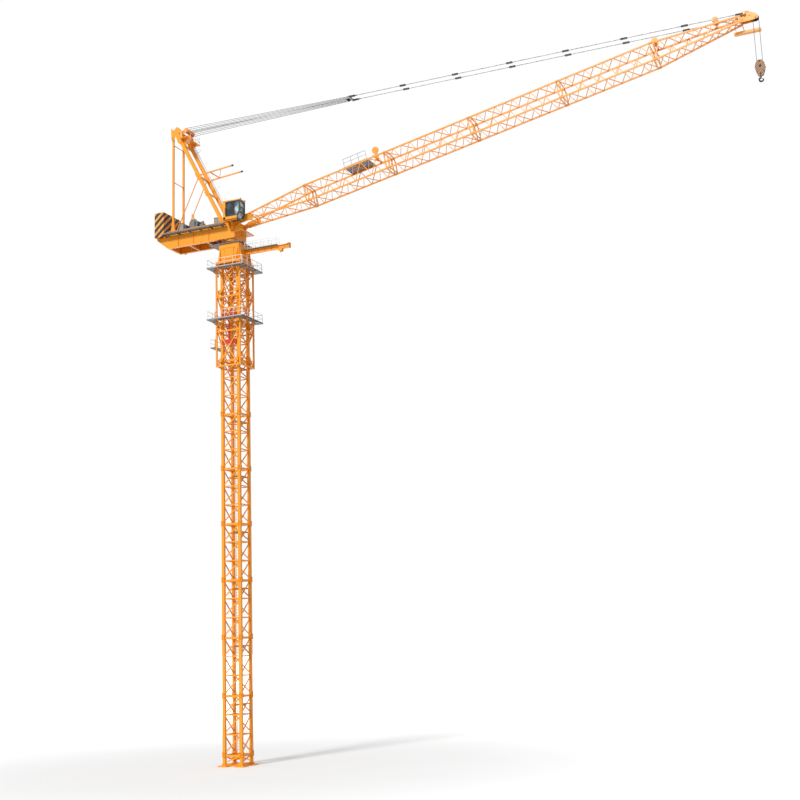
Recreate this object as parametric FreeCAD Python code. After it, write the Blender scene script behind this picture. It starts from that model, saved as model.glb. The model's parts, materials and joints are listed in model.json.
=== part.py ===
"""Luffing tower crane, a 1:2 scale model of a crane about 70 m tall.

Frame: +Z up, +X along the jib, +Y to the left of a driver looking along the jib.
The origin lies on the ground, under the centre of the mast. Units are millimetres.
"""
import FreeCAD, Part
import math
import os

V = FreeCAD.Vector
Z_AXIS = V(0, 0, 1)

# ---------------------------------------------------------------- driving dimensions
# Mast
POST_SPACING = 1000.0        # between the centres of the mast's corner posts
POST_WIDTH = 150.0
SECTION_PITCH = 2960.0       # height of one mast section
SECTION_COUNT = 8
PANELS_PER_SECTION = 3
TOP_SECTION_HEIGHT = 2520.0
RING_DEPTH = 110.0           # heavy horizontals at each section joint
RING_THICKNESS = 70.0
STRUT_DEPTH = 60.0           # light horizontals between the panels
STRUT_THICKNESS = 50.0
DIAGONAL_DEPTH = 56.0
DIAGONAL_THICKNESS = 44.0
DIAPHRAGM_DEPTH = 64.0

# Foundation frame and mast foot
FOOT_HEIGHT = 600.0          # ground to the first section joint
FOUNDATION_BEAM_DEPTH = 150.0
FOUNDATION_BEAM_WIDTH = 200.0
PAD_SIZE = 520.0
PAD_THICKNESS = 60.0
ANCHOR_HOLE_RADIUS = 22.0
ANCHOR_IN = 140.0            # hole rows, measured from the posts' centre lines
ANCHOR_OUT = 160.0
CENTRE_PLATE = 420.0

# Climbing cage
CAGE_HEIGHT = 5890.0
CAGE_OFFSET = 230.0          # from the mast's posts to the cage's, centre to centre
CAGE_BAR = 80.0
CAGE_BRACE = 50.0
CAGE_BAYS = 3
PLATFORM_WIDTH = 400.0       # beyond the cage's posts
PLATFORM_THICKNESS = 40.0
PLATFORM_LEVELS = (2590.0, 5500.0)   # above the bottom of the cage
STEP_LEVEL = 1100.0
RAIL_HEIGHT = 480.0
RAIL_BAR = 22.0
CYLINDER_RADIUS = 42.0
CROSSHEAD_LEVELS = (1250.0, 2790.0)
CROSSHEAD_DEPTH = 240.0
CROSSHEAD_HALF_WIDTH = 440.0

# Slewing support and monorail beam
SUPPORT_HEIGHT = 1060.0
SUPPORT_INSET = 110.0        # its walls stand inside the cage's posts
SUPPORT_FLANGE = 40.0
SLEW_PLATFORM_INSET = 30.0
SLEW_PLATFORM_THICKNESS = 40.0
RING_RADIUS = 560.0
RING_HEIGHT = 120.0
SLEW_GAP = 6.0
MONORAIL_LENGTH = 2850.0
MONORAIL_DEPTH = 230.0
MONORAIL_WIDTH = 130.0
WALKWAY_LENGTH = 2050.0
WALKWAY_HALF = 190.0

# Machinery deck
GIRDER_DEPTH = 1000.0
GIRDER_SPACING = 1150.0      # between the webs' centres
WEB_THICKNESS = 30.0
FLANGE_WIDTH = 150.0
FLANGE_THICKNESS = 34.0
DECK_FRONT = 360.0
DECK_REAR = -4680.0
DECK_STEP = -4030.0          # rear of here the girders stand lower, under the ballast
DECK_STEP_DEPTH = 320.0
DECK_TAPER_START = -3950.0
DECK_TAPER_HEIGHT = 590.0
DECK_PLATE = 40.0
TURNTABLE_REAR = -700.0
WALK_WIDTH = 330.0
WALK_DROP = 200.0            # deck walkway below the girders' top
WALK_FRONT = -120.0

# Ballast and winches
BALLAST_COUNT = 3
BALLAST_THICKNESS = 196.0
BALLAST_GAP = 8.0
BALLAST_HALF_WIDTH = 900.0
BALLAST_HEIGHT = 1440.0
WINCH_X = (-3230.0, -2500.0)          # luffing winch, hoist winch
WINCH_AXIS_HEIGHT = (330.0, 400.0)
DRUM_RADIUS = (150.0, 190.0)
DRUM_FLANGE_EXTRA = (70.0, 90.0)
DRUM_LENGTH = 520.0
DRUM_FLANGE = 24.0
WINCH_PLATE = 40.0
SHAFT_RADIUS = 40.0
BEARING_CLEARANCE = 5.0

# A-frame
AFRAME_INSET = 55.0          # legs stand inside the girders' webs
LEG_FOOT_X = -430.0
LEG_TOP_X = -3290.0
LEG_TOP_HEIGHT = 5560.0      # above the girders' top
LEG_WIDTH = 190.0
LEG_THICKNESS = 130.0
TIE_X = -3680.0
TIE_WIDTH = 110.0
TIE_THICKNESS = 80.0
HEAD_THICKNESS = 60.0
HEAD_SHEAVE_X = -2960.0
HEAD_SHEAVE_HEIGHT = 6020.0
HEAD_SHEAVE_RADIUS = 120.0
BACKSTOP_HEIGHT = 3060.0
BACKSTOP_TIP_X = 190.0
BACKSTOP_RISE = 190.0
STRUT_FOOT_X = -3540.0

# Cab
CAB_REAR = 40.0
CAB_FRONT = 1090.0
CAB_GAP = 30.0               # between the girder's flange and the cab's inner wall
CAB_WIDTH = 590.0
CAB_HEIGHT = 1040.0
CAB_FLOOR = -150.0           # underside of the cab, from the girders' top
CAB_WALL = 45.0
CAB_NOSE = 190.0             # how far the front leans out above the chin
CAB_CHIN = 330.0
GLASS = 14.0

# Jib: lengths are measured along it from its foot pin
JIB_REST_DEG = 11.53
PIVOT_X = 500.0
PIVOT_DROP = 50.0            # foot pin below the girders' top
JIB_WIDTH = 1062.0           # between chord centres
JIB_DEPTH = 921.0
CHORD = 72.0
LACING = 34.0
FRAME_BAR = 50.0
BUTT_LENGTH = 4400.0
JIB_SECTION = 4870.0
JIB_SECTION_COUNT = 4
JIB_BAYS = 5
FOOT_DEPTH = 300.0           # between the chords' centres at the foot
FOOT_PLATE_LENGTH = 700.0
FOOT_PIN_INSET = 41.0        # foot plates stand inside the chords
FOOT_PLATE = 60.0
FOOT_PIN_RADIUS = 45.0
LUG_PLATE = 34.0
LUG_GAP = 8.0
TIP_LENGTH = 4250.0
TIP_WIDTH = 420.0
TIP_DEPTH = 300.0
HEAD_PLATE_Y = 130.0
HEAD_PLATE = 36.0
PENDANT_PIN_BEYOND = 280.0   # pendant pins at the jib's head, beyond the tip section
PENDANT_N = 175.0
PENDANT_HALF = 245.0
PENDANT_RADIUS = 20.0
PENDANT_LENGTH = 20900.0
YOKE_LENGTH = 190.0
YOKE_DEPTH = 120.0
ROPE_RADIUS = 12.0
LUFF_SHEAVES = 4             # each carries one fall above and one below
LUFF_ROPES_HALF_HEAD = 320.0
LUFF_ROPES_HALF_YOKE = 120.0
YOKE_SHEAVE_RADIUS = 70.0

# Hoist
FALL_SPACING = 270.0         # between the two falls; also the sheaves' pitch diameter
SHEAVE_BEYOND = 700.0        # head sheave's axis, beyond the tip section
SHEAVE_N = -170.0
SHEAVE_WIDTH = 60.0
SHEAVE_RIM = 22.0
FALL_LENGTH = 2330.0
BLOCK_WIDTH = 500.0
BLOCK_HEIGHT = 800.0
BLOCK_CHEEK = 30.0
BLOCK_GAP = 76.0             # between the cheeks
HOOK_SHANK_RADIUS = 28.0
HOOK_INNER = 62.0
HOOK_OUTER = 128.0
HOOK_THICKNESS = 60.0

# ---------------------------------------------------------------- levels worked out once
HALF = POST_SPACING / 2
ANCHOR_NEAR = HALF - ANCHOR_IN
ANCHOR_FAR = HALF + ANCHOR_OUT
CAGE_HALF = HALF + CAGE_OFFSET
PLATFORM_HALF = CAGE_HALF + PLATFORM_WIDTH
SUPPORT_HALF = CAGE_HALF - SUPPORT_INSET
SLEW_PLATFORM_HALF = CAGE_HALF - SLEW_PLATFORM_INSET
SECTIONS_TOP = FOOT_HEIGHT + SECTION_COUNT * SECTION_PITCH
MAST_TOP = SECTIONS_TOP + TOP_SECTION_HEIGHT
CAGE_BOTTOM = MAST_TOP - CAGE_HEIGHT
SUPPORT_TOP = MAST_TOP + SUPPORT_HEIGHT
SLEW_PLATFORM_TOP = SUPPORT_TOP + SLEW_PLATFORM_THICKNESS
LOWER_RING_TOP = SLEW_PLATFORM_TOP + RING_HEIGHT
DECK_BOTTOM = LOWER_RING_TOP + SLEW_GAP + RING_HEIGHT
DECK_TOP = DECK_BOTTOM + GIRDER_DEPTH
WEB_Y = GIRDER_SPACING / 2
PIVOT_Z = DECK_TOP - PIVOT_DROP
GIRDER_OUTER = WEB_Y + FLANGE_WIDTH / 2
WEB_INNER = WEB_Y - WEB_THICKNESS / 2
AFRAME_HALF = WEB_Y - AFRAME_INSET
CAB_INNER = GIRDER_OUTER + CAB_GAP
FOOT_PIN_Y = JIB_WIDTH / 2 - FOOT_PIN_INSET
JIB_ANGLE = math.radians(JIB_REST_DEG)
SECTIONS_END = BUTT_LENGTH + JIB_SECTION_COUNT * JIB_SECTION
TIP_END = SECTIONS_END + TIP_LENGTH
PENDANT_S = TIP_END + PENDANT_PIN_BEYOND
SHEAVE_S = TIP_END + SHEAVE_BEYOND
LUFF_SHARES = [number * 2 / (LUFF_SHEAVES - 1) - 1 for number in range(LUFF_SHEAVES)]


# ---------------------------------------------------------------- shapes
def box(x0, x1, y0, y1, z0, z1):
    """Block between two corners."""
    return Part.makeBox(x1 - x0, y1 - y0, z1 - z0, V(x0, y0, z0))


def bar(start, end, depth, thickness, upright=Z_AXIS):
    """Straight rectangular bar: depth is measured towards upright, thickness across."""
    run = end - start
    length = run.Length
    along = run.normalize()
    side = along.cross(upright)
    if side.Length < 1e-6:
        side = V(-1, 0, 0)
    side.normalize()
    up = side.cross(along)
    solid = Part.makeBox(depth, thickness, length, V(-depth / 2, -thickness / 2, 0))
    turn = FreeCAD.Matrix(
        up.x, side.x, along.x, start.x,
        up.y, side.y, along.y, start.y,
        up.z, side.z, along.z, start.z,
        0, 0, 0, 1)
    return placed(solid, turn)


def placed(solid, matrix):
    """Copy of a solid moved by a rigid matrix."""
    copy = solid.copy()
    copy.Placement = FreeCAD.Placement(matrix).multiply(copy.Placement)
    return copy


def rod(start, end, radius):
    """Round bar between two points."""
    run = end - start
    return Part.makeCylinder(radius, run.Length, start, run)


def plate(outline, y0, y1):
    """Flat plate whose outline is given as (x, z) corners, from y0 to y1."""
    corners = [V(x, y0, z) for x, z in outline]
    face = Part.Face(Part.makePolygon(corners + corners[:1]))
    return face.extrude(V(0, y1 - y0, 0))


def fuse(solids):
    """One clean solid, or group of solids, out of many."""
    return solids[0].multiFuse(solids[1:]).removeSplitter()


def mirrored(shape):
    """The same shape on the other side of the crane's centre plane."""
    return shape.mirror(V(0, 0, 0), V(0, 1, 0))


def turned(shape, quarter_turns):
    """Copy of a shape turned about the mast's axis."""
    copy = shape.copy()
    copy.rotate(V(0, 0, 0), Z_AXIS, 90 * quarter_turns)
    return copy


def raised(shape, height):
    """Copy of a shape moved up."""
    copy = shape.copy()
    copy.translate(V(0, 0, height))
    return copy


def luffed(shape):
    """Jib piece, drawn flat with the foot pin at the origin, put where it rests."""
    copy = shape.copy()
    copy.rotate(V(0, 0, 0), V(0, 1, 0), -JIB_REST_DEG)
    copy.translate(V(PIVOT_X, 0, PIVOT_Z))
    return copy


def jib_point(along, above, y=0.0):
    """Point of the resting jib, from its length along and height above the centre line."""
    cos, sin = math.cos(JIB_ANGLE), math.sin(JIB_ANGLE)
    return V(PIVOT_X + along * cos - above * sin, y, PIVOT_Z + along * sin + above * cos)


def save(name, shape):
    """Write one node's STEP file and print what it holds."""
    if isinstance(shape, (list, tuple)):
        shape = Part.makeCompound(list(shape))
    if shape.ShapeType != "Compound" or len(shape.Solids) == 1:
        shape = shape.Solids[0]
    shape.exportStep(f"parts/{name}.step")
    print(f"{name}: {len(shape.Solids)} solids, {shape.Volume / 1e9:.4f} m3, valid {shape.isValid()}")


# ---------------------------------------------------------------- mast
def foundation_frame():
    """Crossed beams with a pad under each post, drilled for the anchor bolts."""
    pieces = []
    reach = HALF + POST_WIDTH / 4
    for side in (1, -1):
        pieces.append(bar(V(-reach, -side * reach, FOUNDATION_BEAM_DEPTH / 2),
                          V(reach, side * reach, FOUNDATION_BEAM_DEPTH / 2),
                          FOUNDATION_BEAM_DEPTH, FOUNDATION_BEAM_WIDTH))
    pieces.append(box(-CENTRE_PLATE / 2, CENTRE_PLATE / 2, -CENTRE_PLATE / 2, CENTRE_PLATE / 2,
                      0, FOUNDATION_BEAM_DEPTH))
    seat = POST_WIDTH / 2 + 40
    for x in (-HALF, HALF):
        for y in (-HALF, HALF):
            pieces.append(box(x - PAD_SIZE / 2, x + PAD_SIZE / 2,
                              y - PAD_SIZE / 2, y + PAD_SIZE / 2, 0, PAD_THICKNESS))
            pieces.append(box(x - seat, x + seat, y - seat, y + seat,
                              0, FOUNDATION_BEAM_DEPTH))
    frame = fuse(pieces)
    holes = []
    for x, y in ((ANCHOR_FAR, ANCHOR_FAR), (ANCHOR_FAR, ANCHOR_NEAR), (ANCHOR_NEAR, ANCHOR_FAR)):
        for sx in (-1, 1):
            for sy in (-1, 1):
                holes.append(Part.makeCylinder(ANCHOR_HOLE_RADIUS, PAD_THICKNESS * 2,
                                               V(sx * x, sy * y, -PAD_THICKNESS / 2)))
    return frame.cut(Part.makeCompound(holes))


def mast_face(height, panels):
    """Bars of one mast face, on the -Y side: top ring bar, light horizontals, diagonals."""
    bars = []
    ring_z = height - RING_DEPTH / 2
    bars.append(bar(V(-HALF, -HALF, ring_z), V(HALF, -HALF, ring_z), RING_DEPTH, RING_THICKNESS))
    panel = height / panels
    for level in range(panels):
        low = level * panel
        high = min(low + panel, ring_z)
        if level:
            bars.append(bar(V(-HALF, -HALF, low), V(HALF, -HALF, low),
                            STRUT_DEPTH, STRUT_THICKNESS))
        bars.append(bar(V(-HALF, -HALF, low + DIAGONAL_DEPTH), V(HALF, -HALF, high),
                        DIAGONAL_DEPTH, DIAGONAL_THICKNESS))
    middle = height - panel / 2
    bars.append(bar(V(0, -HALF, middle), V(HALF, 0, middle), DIAPHRAGM_DEPTH, DIAGONAL_THICKNESS))
    return bars


def mast_lattice(height, panels):
    """One mast section standing on z = 0."""
    face = mast_face(height, panels)
    bars = [turned(piece, turn) for turn in range(4) for piece in face]
    posts = []
    for x in (-HALF, HALF):
        for y in (-HALF, HALF):
            posts.append(box(x - POST_WIDTH / 2, x + POST_WIDTH / 2,
                             y - POST_WIDTH / 2, y + POST_WIDTH / 2, 0, height))
    return fuse(posts + bars)


def mast_foot():
    """Four stub posts with a ring, standing on the foundation frame."""
    height = FOOT_HEIGHT - FOUNDATION_BEAM_DEPTH
    return raised(mast_lattice(height, 1), FOUNDATION_BEAM_DEPTH)


# ---------------------------------------------------------------- climbing cage
def cage_side(with_posts):
    """One flat side of the climbing cage, on the -Y side, standing on z = 0."""
    post = CAGE_HALF
    edge = CAGE_HALF - CAGE_BAR / 2
    bars = []
    if with_posts:
        for x in (-post, post):
            bars.append(bar(V(x, -post, 0), V(x, -post, CAGE_HEIGHT), CAGE_BAR, CAGE_BAR,
                            V(1, 0, 0)))
    bay = (CAGE_HEIGHT - CAGE_BAR) / CAGE_BAYS
    for level in range(CAGE_BAYS + 1):
        z = CAGE_BAR / 2 + level * bay
        bars.append(bar(V(-edge, -post, z), V(edge, -post, z), CAGE_BAR, CAGE_BAR - 10))
        if level < CAGE_BAYS:
            inner = edge - CAGE_BRACE
            for side in (1, -1):
                bars.append(bar(V(-side * inner, -post, z), V(side * inner, -post, z + bay),
                                CAGE_BRACE, CAGE_BRACE - 4 * (1 + side)))
    return fuse(bars)


def walkway_ring(z, half, inner, thickness):
    """Four grating panels round a square opening."""
    top = z + thickness
    panels = [box(-half, half, -half, -inner, z, top), box(-half, half, inner, half, z, top),
              box(-half, -inner, -inner, inner, z, top), box(inner, half, -inner, inner, z, top)]
    return panels


def rail_run(start, end, posts, height):
    """Straight handrail: a top rail, a knee rail and upright posts."""
    top = V(0, 0, height - RAIL_BAR / 2)
    knee = V(0, 0, height / 2)
    bars = [bar(start + top, end + top, RAIL_BAR, RAIL_BAR),
            bar(start + knee, end + knee, RAIL_BAR - 6, RAIL_BAR - 6)]
    run = end - start
    inset = V(run).normalize() * (RAIL_BAR / 2)
    first = start + inset
    step = (run - inset * 2) * (1.0 / (posts - 1))
    for number in range(posts):
        foot = first + step * number
        bars.append(bar(foot, foot + V(0, 0, height - RAIL_BAR / 2), RAIL_BAR - 2, RAIL_BAR - 2))
    return fuse(bars)


def rail_ring(z, half):
    """Handrail along the four edges of a square platform."""
    line = half - RAIL_BAR
    reach = line - RAIL_BAR
    run = rail_run(V(-reach, -line, z), V(reach, -line, z), 5, RAIL_HEIGHT)
    return [turned(run, turn) for turn in range(4)]


def cage_platforms():
    """Two walkway rings and the small step on the -X side."""
    inner = CAGE_HALF + CAGE_BAR / 2
    solids = []
    for level in PLATFORM_LEVELS:
        solids += walkway_ring(CAGE_BOTTOM + level, PLATFORM_HALF, inner, PLATFORM_THICKNESS)
    step = CAGE_BOTTOM + STEP_LEVEL
    solids.append(box(-PLATFORM_HALF, -inner, -inner, inner, step, step + PLATFORM_THICKNESS))
    return solids


def cage_railings():
    """Handrails of the walkway rings and of the step."""
    solids = []
    for level in PLATFORM_LEVELS:
        solids += rail_ring(CAGE_BOTTOM + level + PLATFORM_THICKNESS, PLATFORM_HALF)
    line = PLATFORM_HALF - RAIL_BAR
    reach = CAGE_HALF + CAGE_BAR / 2 - RAIL_BAR
    floor = CAGE_BOTTOM + STEP_LEVEL + PLATFORM_THICKNESS
    solids.append(rail_run(V(-line, -reach, floor), V(-line, reach, floor), 4, RAIL_HEIGHT))
    return solids


def climbing_gear():
    """Hydraulic cylinder between two crossheads, in the gap between mast and cage."""
    front = HALF + POST_WIDTH / 2
    back = CAGE_HALF - CAGE_BAR / 2 - 5
    solids = []
    for level in CROSSHEAD_LEVELS:
        z = CAGE_BOTTOM + level
        solids.append(box(-CROSSHEAD_HALF_WIDTH, CROSSHEAD_HALF_WIDTH, -back, -front,
                          z, z + CROSSHEAD_DEPTH))
    centre = -(front + back) / 2
    low = CAGE_BOTTOM + CROSSHEAD_LEVELS[0] + CROSSHEAD_DEPTH / 2
    high = CAGE_BOTTOM + CROSSHEAD_LEVELS[1] + CROSSHEAD_DEPTH / 2
    joint = low + (high - low) * 0.6
    solids.append(rod(V(0, centre, low), V(0, centre, joint), CYLINDER_RADIUS))
    solids.append(rod(V(0, centre, joint), V(0, centre, high), CYLINDER_RADIUS * 0.6))
    return fuse(solids)


# ---------------------------------------------------------------- slewing support
def slewing_support():
    """Box that carries the lower slewing ring on the top mast section."""
    flange = CAGE_HALF + CAGE_BAR / 2
    pieces = [box(-flange, flange, -flange, flange, MAST_TOP, MAST_TOP + SUPPORT_FLANGE)]
    pieces.append(box(-SUPPORT_HALF, SUPPORT_HALF, -SUPPORT_HALF, SUPPORT_HALF,
                      MAST_TOP, SUPPORT_TOP))
    rib = 90.0
    for side in (-1, 1):
        for offset in (-SUPPORT_HALF + rib, SUPPORT_HALF - rib):
            outline = [(side * SUPPORT_HALF, MAST_TOP), (side * flange, MAST_TOP),
                       (side * SUPPORT_HALF, SUPPORT_TOP - rib)]
            rib_plate = plate(outline, offset - 12, offset + 12)
            pieces += [rib_plate, turned(rib_plate, 1)]
    pieces.append(Part.makeCylinder(RING_RADIUS, LOWER_RING_TOP - SUPPORT_TOP + 10,
                                    V(0, 0, SUPPORT_TOP - 10)))
    return fuse(pieces)


def slewing_platform():
    """Grating round the slewing ring, with a balcony on the -X side."""
    ring = box(-SLEW_PLATFORM_HALF, SLEW_PLATFORM_HALF, -SLEW_PLATFORM_HALF, SLEW_PLATFORM_HALF,
               SUPPORT_TOP, SLEW_PLATFORM_TOP)
    balcony = box(-SLEW_PLATFORM_HALF - 500, -SLEW_PLATFORM_HALF + 10, -SLEW_PLATFORM_HALF,
                  SLEW_PLATFORM_HALF, SUPPORT_TOP, SLEW_PLATFORM_TOP)
    hole = Part.makeCylinder(RING_RADIUS, SLEW_PLATFORM_THICKNESS * 2,
                             V(0, 0, SUPPORT_TOP - SLEW_PLATFORM_THICKNESS / 2))
    return fuse([ring, balcony]).cut(hole)


MONORAIL_TOP = MAST_TOP + 0.64 * SUPPORT_HEIGHT


def monorail_beam():
    """I-beam that brings new mast sections to the cage, with its root bracket."""
    root = SUPPORT_HALF
    tip = root + MONORAIL_LENGTH
    flange = 26.0
    web = 22.0
    low = MONORAIL_TOP - MONORAIL_DEPTH
    pieces = [box(root, tip, -MONORAIL_WIDTH / 2, MONORAIL_WIDTH / 2, low, low + flange),
              box(root, tip, -MONORAIL_WIDTH / 2, MONORAIL_WIDTH / 2,
                  MONORAIL_TOP - flange, MONORAIL_TOP),
              box(root, tip, -web / 2, web / 2, low, MONORAIL_TOP),
              box(root, root + 60, -220, 220, low - 160, MONORAIL_TOP),
              plate([(root, low - 160), (root + 420, low + flange / 2), (root, low + flange / 2)],
                    -15, 15)]
    return fuse(pieces)


def monorail_walkway():
    """Grating on top of the monorail beam."""
    start = SLEW_PLATFORM_HALF
    return box(start, start + WALKWAY_LENGTH, -WALKWAY_HALF, WALKWAY_HALF,
               MONORAIL_TOP, MONORAIL_TOP + PLATFORM_THICKNESS)


def monorail_railing():
    """Handrails on both sides of the monorail walkway."""
    floor = MONORAIL_TOP + PLATFORM_THICKNESS
    start = SLEW_PLATFORM_HALF + RAIL_BAR
    end = SLEW_PLATFORM_HALF + WALKWAY_LENGTH - RAIL_BAR
    line = WALKWAY_HALF - RAIL_BAR
    return [rail_run(V(start, side * line, floor), V(end, side * line, floor), 5,
                     RAIL_HEIGHT - 60) for side in (-1, 1)]


# ---------------------------------------------------------------- machinery deck
def deck_girder():
    """Plate girder on the -Y side: web, lower flange that follows the tapered end, top flange."""
    stepped = DECK_TOP - DECK_STEP_DEPTH
    rear_low = DECK_BOTTOM + DECK_TAPER_HEIGHT
    web_line = [(DECK_REAR, rear_low), (DECK_TAPER_START, DECK_BOTTOM), (DECK_FRONT, DECK_BOTTOM),
                (DECK_FRONT, DECK_TOP), (DECK_STEP, DECK_TOP), (DECK_STEP, stepped),
                (DECK_REAR, stepped)]
    pieces = [plate(web_line, -WEB_Y - WEB_THICKNESS / 2, -WEB_Y + WEB_THICKNESS / 2)]
    inner = -WEB_Y + FLANGE_WIDTH / 2
    thick = FLANGE_THICKNESS
    pieces.append(plate([(DECK_TAPER_START, DECK_BOTTOM), (DECK_FRONT, DECK_BOTTOM),
                         (DECK_FRONT, DECK_BOTTOM + thick), (DECK_TAPER_START, DECK_BOTTOM + thick),
                         (DECK_REAR, rear_low + thick), (DECK_REAR, rear_low)],
                        -GIRDER_OUTER, inner))
    pieces.append(box(DECK_STEP, DECK_FRONT, -GIRDER_OUTER, inner, DECK_TOP - thick, DECK_TOP))
    pieces.append(box(DECK_REAR, DECK_STEP, -GIRDER_OUTER, inner, stepped - thick, stepped))
    for x in (-3300.0, -2300.0, -1300.0):
        pieces.append(box(x, x + 16, -GIRDER_OUTER + 10, -WEB_Y, DECK_BOTTOM, DECK_TOP))
    return fuse(pieces)


def deck_frame():
    """Floor plate and cross-beams between the two girders."""
    edge = WEB_INNER
    floor_top = DECK_TOP - FLANGE_THICKNESS
    pieces = [box(DECK_STEP, TURNTABLE_REAR, -edge, edge, floor_top - DECK_PLATE, floor_top)]
    flange_inner = WEB_Y - FLANGE_WIDTH / 2
    for x, width in ((DECK_TAPER_START - 20, 120.0), (-2640.0, 90.0), (-1500.0, 90.0)):
        pieces.append(box(x, x + width, -flange_inner, flange_inner, DECK_BOTTOM + 4,
                          floor_top - DECK_PLATE + 4))
    pieces.append(box(DECK_REAR, DECK_REAR + 40, -edge, edge,
                      DECK_BOTTOM + DECK_TAPER_HEIGHT + FLANGE_THICKNESS,
                      DECK_TOP - DECK_STEP_DEPTH - FLANGE_THICKNESS))
    return pieces


def turntable():
    """Block between the girders with the upper slewing ring and the jib's foot lugs."""
    edge = WEB_INNER
    inner = WEB_Y - FLANGE_WIDTH / 2
    pieces = [box(TURNTABLE_REAR, DECK_FRONT, -inner, inner, DECK_BOTTOM, DECK_TOP),
              box(TURNTABLE_REAR, DECK_FRONT, -edge, edge, DECK_BOTTOM + FLANGE_THICKNESS,
                  DECK_TOP - FLANGE_THICKNESS)]
    pieces.append(Part.makeCylinder(RING_RADIUS, RING_HEIGHT, V(0, 0, DECK_BOTTOM - RING_HEIGHT)))
    front = DECK_FRONT + 20
    pieces.append(box(DECK_FRONT, front, -GIRDER_OUTER, GIRDER_OUTER, DECK_BOTTOM, DECK_TOP))
    lug_reach = 90.0
    for side in (-1, 1):
        for offset in (-1, 1):
            near = side * FOOT_PIN_Y + offset * (FOOT_PLATE / 2 + LUG_GAP)
            far = near + offset * LUG_PLATE
            lug = plate([(front - 10, PIVOT_Z - 260), (PIVOT_X + lug_reach, PIVOT_Z - 70),
                         (PIVOT_X + lug_reach, PIVOT_Z + 60), (PIVOT_X, PIVOT_Z + 100),
                         (front - 10, PIVOT_Z + PIVOT_DROP)], min(near, far), max(near, far))
            pieces.append(lug)
        grip = FOOT_PLATE / 2 + LUG_GAP + LUG_PLATE
        pieces.append(rod(V(PIVOT_X, side * FOOT_PIN_Y - grip, PIVOT_Z),
                          V(PIVOT_X, side * FOOT_PIN_Y + grip, PIVOT_Z),
                          FOOT_PIN_RADIUS - BEARING_CLEARANCE))
    return fuse(pieces)


STEP_REACH = 520.0
STEP_Z = DECK_BOTTOM + 330.0


def front_step():
    """Small service platform under the jib's foot, with its sloping side plates."""
    front = DECK_FRONT + 20
    pieces = [box(front, front + STEP_REACH, -WEB_Y - 32, WEB_Y + 32, STEP_Z, STEP_Z + 30)]
    for side in (-1, 1):
        y = side * (WEB_Y + 20)
        pieces.append(plate([(front, STEP_Z), (front + STEP_REACH, STEP_Z),
                             (front + STEP_REACH, STEP_Z + 60), (front, STEP_Z + 420)],
                            y - 12, y + 12))
    return fuse(pieces)


def deck_walkways():
    """Grating walkways hung on the outside of both girders."""
    top = DECK_TOP - WALK_DROP
    start = DECK_STEP - 30
    panel = box(start, WALK_FRONT, -GIRDER_OUTER - WALK_WIDTH, -GIRDER_OUTER, top - 36, top)
    kerb = box(start, WALK_FRONT, -GIRDER_OUTER - WALK_WIDTH - 14, -GIRDER_OUTER - WALK_WIDTH,
               top - 50, top + 36)
    solids = []
    near = [panel, kerb]
    x = start + 200
    while x < WALK_FRONT - 200:
        near.append(box(x, x + 30, -GIRDER_OUTER - WALK_WIDTH, -WEB_Y - WEB_THICKNESS / 2,
                        top - 110, top - 36))
        x += 700
    near_walk = fuse(near)
    solids.append(near_walk)
    solids.append(mirrored(near_walk))
    return solids


def ballast_blocks():
    """Concrete slabs standing side by side across the rear of the girders."""
    bottom = DECK_TOP - DECK_STEP_DEPTH
    slabs = []
    for number in range(BALLAST_COUNT):
        x = DECK_REAR + number * (BALLAST_THICKNESS + BALLAST_GAP)
        slabs.append(box(x, x + BALLAST_THICKNESS, -BALLAST_HALF_WIDTH, BALLAST_HALF_WIDTH,
                         bottom, bottom + BALLAST_HEIGHT))
    return slabs


FLOOR_TOP = DECK_TOP - FLANGE_THICKNESS


def winch_frame(number):
    """Bed, two bearing plates, gearbox and motor of one winch, round its drum's axis."""
    x = WINCH_X[number]
    axis_z = FLOOR_TOP + WINCH_AXIS_HEIGHT[number]
    half = DRUM_LENGTH / 2 + DRUM_FLANGE + 8
    reach = DRUM_RADIUS[number] + 90
    pieces = [box(x - reach, x + reach, -half - 104, half + 60, FLOOR_TOP, FLOOR_TOP + 40)]
    for side in (-1, 1):
        y0 = side * half
        y1 = side * (half + WINCH_PLATE)
        pieces.append(plate([(x - reach + 20, FLOOR_TOP + 20), (x + reach - 20, FLOOR_TOP + 20),
                             (x + 90, axis_z + 90), (x - 90, axis_z + 90)],
                            min(y0, y1), max(y0, y1)))
    bed = fuse(pieces)
    bore = rod(V(x, -half - 200, axis_z), V(x, half + 200, axis_z),
               SHAFT_RADIUS + BEARING_CLEARANCE)
    gearbox = box(x - 130, x + 130, -half - WINCH_PLATE - 60, -half - WINCH_PLATE - 4,
                  FLOOR_TOP + 20, axis_z + 110)
    return fuse([bed.cut(bore), gearbox])


def drum(number):
    """Rope drum with its end flanges and shaft."""
    x = WINCH_X[number]
    z = FLOOR_TOP + WINCH_AXIS_HEIGHT[number]
    half = DRUM_LENGTH / 2
    rim = DRUM_RADIUS[number] + DRUM_FLANGE_EXTRA[number]
    pieces = [rod(V(x, -half, z), V(x, half, z), DRUM_RADIUS[number])]
    for side in (-1, 1):
        pieces.append(rod(V(x, side * half, z), V(x, side * (half + DRUM_FLANGE), z), rim))
    end = half + DRUM_FLANGE + 8 + WINCH_PLATE
    pieces.append(rod(V(x, -end, z), V(x, end, z), SHAFT_RADIUS))
    return fuse(pieces)


# ---------------------------------------------------------------- A-frame
LEG_FOOT = V(LEG_FOOT_X, 0, DECK_TOP)
LEG_TOP = V(LEG_TOP_X, 0, DECK_TOP + LEG_TOP_HEIGHT)


def on_leg(height, y):
    """Point of the A-frame's leg at a height above the girders' top."""
    share = height / LEG_TOP_HEIGHT
    return V(LEG_FOOT_X + (LEG_TOP_X - LEG_FOOT_X) * share, y, DECK_TOP + height)


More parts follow.
